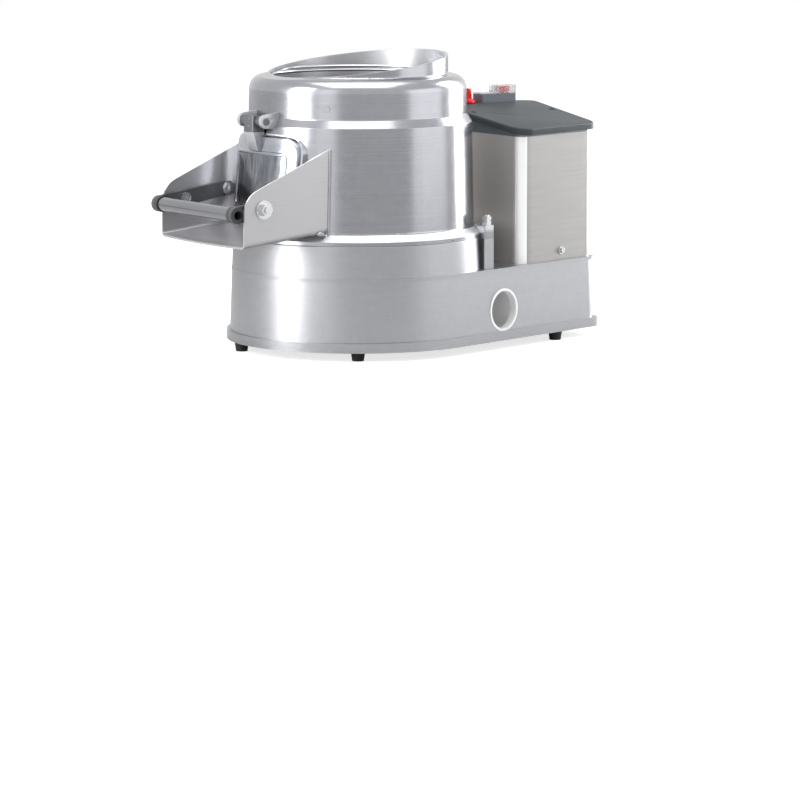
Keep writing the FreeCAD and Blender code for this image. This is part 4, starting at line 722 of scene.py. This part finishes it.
# The box has a satin shine over a grain drawn 1.25 mm apart.
grey_box, tree, shader = new_finish("blue-grey moulded ABS")
box_texture = object_pattern(tree, "ShaderNodeTexNoise", 1.25, 1.25, 1.25, Detail=2.0)
wear_in(tree, shader, box_texture, rough=(0.32, 0.46), shades=("#5f6570", "#6f757f"), relief_mm=0.04)
dress(grey_box, "switch_box")

# Coloured ABS is glossy and strong in colour, with flow marks about 3 mm across from the mould.
red_abs, tree, shader = new_finish("gloss red ABS", Specular_IOR_Level=0.1)
red_flow = object_pattern(tree, "ShaderNodeTexNoise", 3.333, 3.333, 3.333, Detail=2.0)
wear_in(tree, shader, red_flow, rough=(0.24, 0.36), shades=("#cf1a1d", "#e0282a"), relief_mm=0.03)
dress(red_abs, "timer_knob", "stop_button")

green_abs, tree, shader = new_finish("gloss green ABS")
green_flow = object_pattern(tree, "ShaderNodeTexNoise", 3.333, 3.333, 3.333, Detail=2.0)
wear_in(tree, shader, green_flow, rough=(0.22, 0.34), shades=("#1c7a3c", "#259049"), relief_mm=0.03)
dress(green_abs, "start_button")

# Clear vinyl lets the buttons' colours through and blurs them a little, with a haze 4 mm across.
clear_vinyl, tree, shader = new_finish(
    "clear moulded vinyl", Transmission_Weight=0.85, IOR=1.45, Alpha=0.75
)
vinyl_haze = object_pattern(tree, "ShaderNodeTexNoise", 4, 4, 4, Detail=3.0)
wear_in(tree, shader, vinyl_haze, rough=(0.18, 0.34), shades=("#e3e6ea", "#f2f4f6"), relief_mm=0.05)
dress(clear_vinyl, "splash_boot")

# Drive inside the base and the housing: shafts, bearing rings, nuts and motor plate of ground steel, and
# wheels, peeling plate and motor frame of grey iron cast in sand.

# Ground steel mirrors in streaks round the shafts, which are drawn 0.7 mm apart to show.
ground_steel, tree, shader = new_finish("ground steel", Metallic=1.0)
grinding = object_pattern(tree, "ShaderNodeTexNoise", 25, 25, 0.6667, Detail=2.0)
wear_in(tree, shader, grinding, rough=(0.2, 0.32), shades=("#a8a9ab", "#c4c5c6"), relief_mm=0.03)
dress(
    ground_steel, "drive_shaft", "motor_shaft", "bearing_inner_rings", "bearing_outer_rings",
    "bearing_spacer", "pulley_nut", "plate_cap", "motor_plate",
)

# Cast iron keeps the grain of the sand, about 2.2 mm across, and is dark and dull.
grey_iron, tree, shader = new_finish("grey cast iron", Metallic=0.6)
sand = object_pattern(tree, "ShaderNodeTexNoise", 2.222, 2.222, 2.222, Detail=6.0)
wear_in(tree, shader, sand, rough=(0.5, 0.75), shades=("#4c4e50", "#66686a"), relief_mm=0.2)
dress(grey_iron, "motor_frame", "peeling_plate", "driven_pulley", "motor_pulley", "waste_sweeper")

# Studio: pale board floor, plain world, an upright strip box in front of the machine with a dim one beside
# it, another behind, a low fill at the near side and a soft box overhead. The strips draw the bright bands
# on the drum.
FLOOR_HALF = 6.0
FLOOR_LIFT = 0.74
FLOOR_LIFT_IN_MIRRORS = 0.12
floor_mesh = bpy.data.meshes.new("studio_floor")
board = bmesh.new()
bmesh.ops.create_grid(board, x_segments=1, y_segments=1, size=FLOOR_HALF)
board.to_mesh(floor_mesh)
board.free()
floor = bpy.data.objects.new("studio_floor", floor_mesh)
bpy.context.scene.collection.objects.link(floor)
# The floor is matt pale grey board. What the camera sees of it is lifted to white, so only the shadow
# shows, and what the metal mirrors of it is lifted a little.
white_floor, tree, shader = new_finish("pale studio board", Roughness=0.9)
shader.inputs["Base Color"].default_value = linear("#bcbcbc")
shader.inputs["Emission Color"].default_value = linear("#ffffff")
rays = add_node(tree, "ShaderNodeLightPath")
seen_through = add_node(
    tree, "ShaderNodeMath", settings={"operation": "MAXIMUM"},
    links={0: (rays, "Is Camera Ray"), 1: (rays, "Is Transmission Ray")},
)
mirrored = add_node(
    tree, "ShaderNodeMath", {1: FLOOR_LIFT_IN_MIRRORS}, {"operation": "MULTIPLY"},
    {0: (rays, "Is Glossy Ray")},
)
seen = add_node(
    tree, "ShaderNodeMath", settings={"operation": "MAXIMUM"}, links={0: (seen_through, 0), 1: (mirrored, 0)}
)
lift = add_node(tree, "ShaderNodeMath", {1: FLOOR_LIFT}, {"operation": "MULTIPLY"}, {0: (seen, 0)})
tree.links.new(lift.outputs[0], shader.inputs["Emission Strength"])
floor_mesh.materials.append(white_floor)

# The world is plain white where it is seen or mirrored, and lights the machine at 0.6 of that.
world = bpy.data.worlds.new("studio")
world.use_nodes = True
bpy.context.scene.world = world
tree = world.node_tree
tree.nodes.clear()
rays = add_node(tree, "ShaderNodeLightPath")
seen_through = add_node(
    tree, "ShaderNodeMath", settings={"operation": "MAXIMUM"},
    links={0: (rays, "Is Camera Ray"), 1: (rays, "Is Transmission Ray")},
)
seen = add_node(
    tree, "ShaderNodeMath", settings={"operation": "MAXIMUM"},
    links={0: (seen_through, 0), 1: (rays, "Is Glossy Ray")},
)
lit = add_node(tree, "ShaderNodeBackground", {"Color": linear("#ffffff"), "Strength": 0.6})
white = add_node(tree, "ShaderNodeBackground", {"Color": linear("#ffffff"), "Strength": 1.0})
choice = add_node(tree, "ShaderNodeMixShader", links={0: (seen, 0), 1: (lit, 0), 2: (white, 0)})
add_node(tree, "ShaderNodeOutputWorld", links={"Surface": (choice, 0)})


def soft_box(name, place, aim, width, height, power):
    """Rectangular area light at a place, turned towards a point."""
    lamp = bpy.data.lights.new(name, "AREA")
    lamp.shape = "RECTANGLE"
    lamp.size = width
    lamp.size_y = height
    lamp.energy = power
    holder = bpy.data.objects.new(name, lamp)
    holder.location = place
    holder.rotation_euler = (Vector(aim) - Vector(place)).to_track_quat("-Z", "Y").to_euler()
    bpy.context.scene.collection.objects.link(holder)


soft_box("front_strip", place=(-0.16, -1.8, 0.85), aim=(0, 0, 0.8), width=0.6, height=1.65, power=36)
soft_box("front_fill", place=(0.85, -1.8, 0.85), aim=(0, 0, 0.8), width=0.7, height=1.65, power=3)
soft_box("rear_strip", place=(-0.04, 1.8, 0.85), aim=(-0.04, 0, 0.8), width=0.78, height=1.65, power=42)
soft_box("side_fill", place=(1.45, 1.25, 0.6), aim=(0, 0, 0.4), width=1.5, height=1.1, power=6)
soft_box("overhead", place=(0.4, -0.25, 2.5), aim=(0, 0, 0.2), width=2.2, height=2.2, power=39)

# The camera stands where the fit to the photograph puts it, 5.7 m from the machine with a long lens.
lens = bpy.data.cameras.new("photograph_view")
lens.lens = 172.6
lens.sensor_width = 36.0
viewer = bpy.data.objects.new("photograph_view", lens)
viewer.location = (4.7171, -3.1569, 0.759)
viewer.rotation_euler = (math.radians(81.52), 0, math.radians(56))
bpy.context.scene.collection.objects.link(viewer)
bpy.context.scene.camera = viewer
bpy.context.scene.view_settings.view_transform = "Standard"
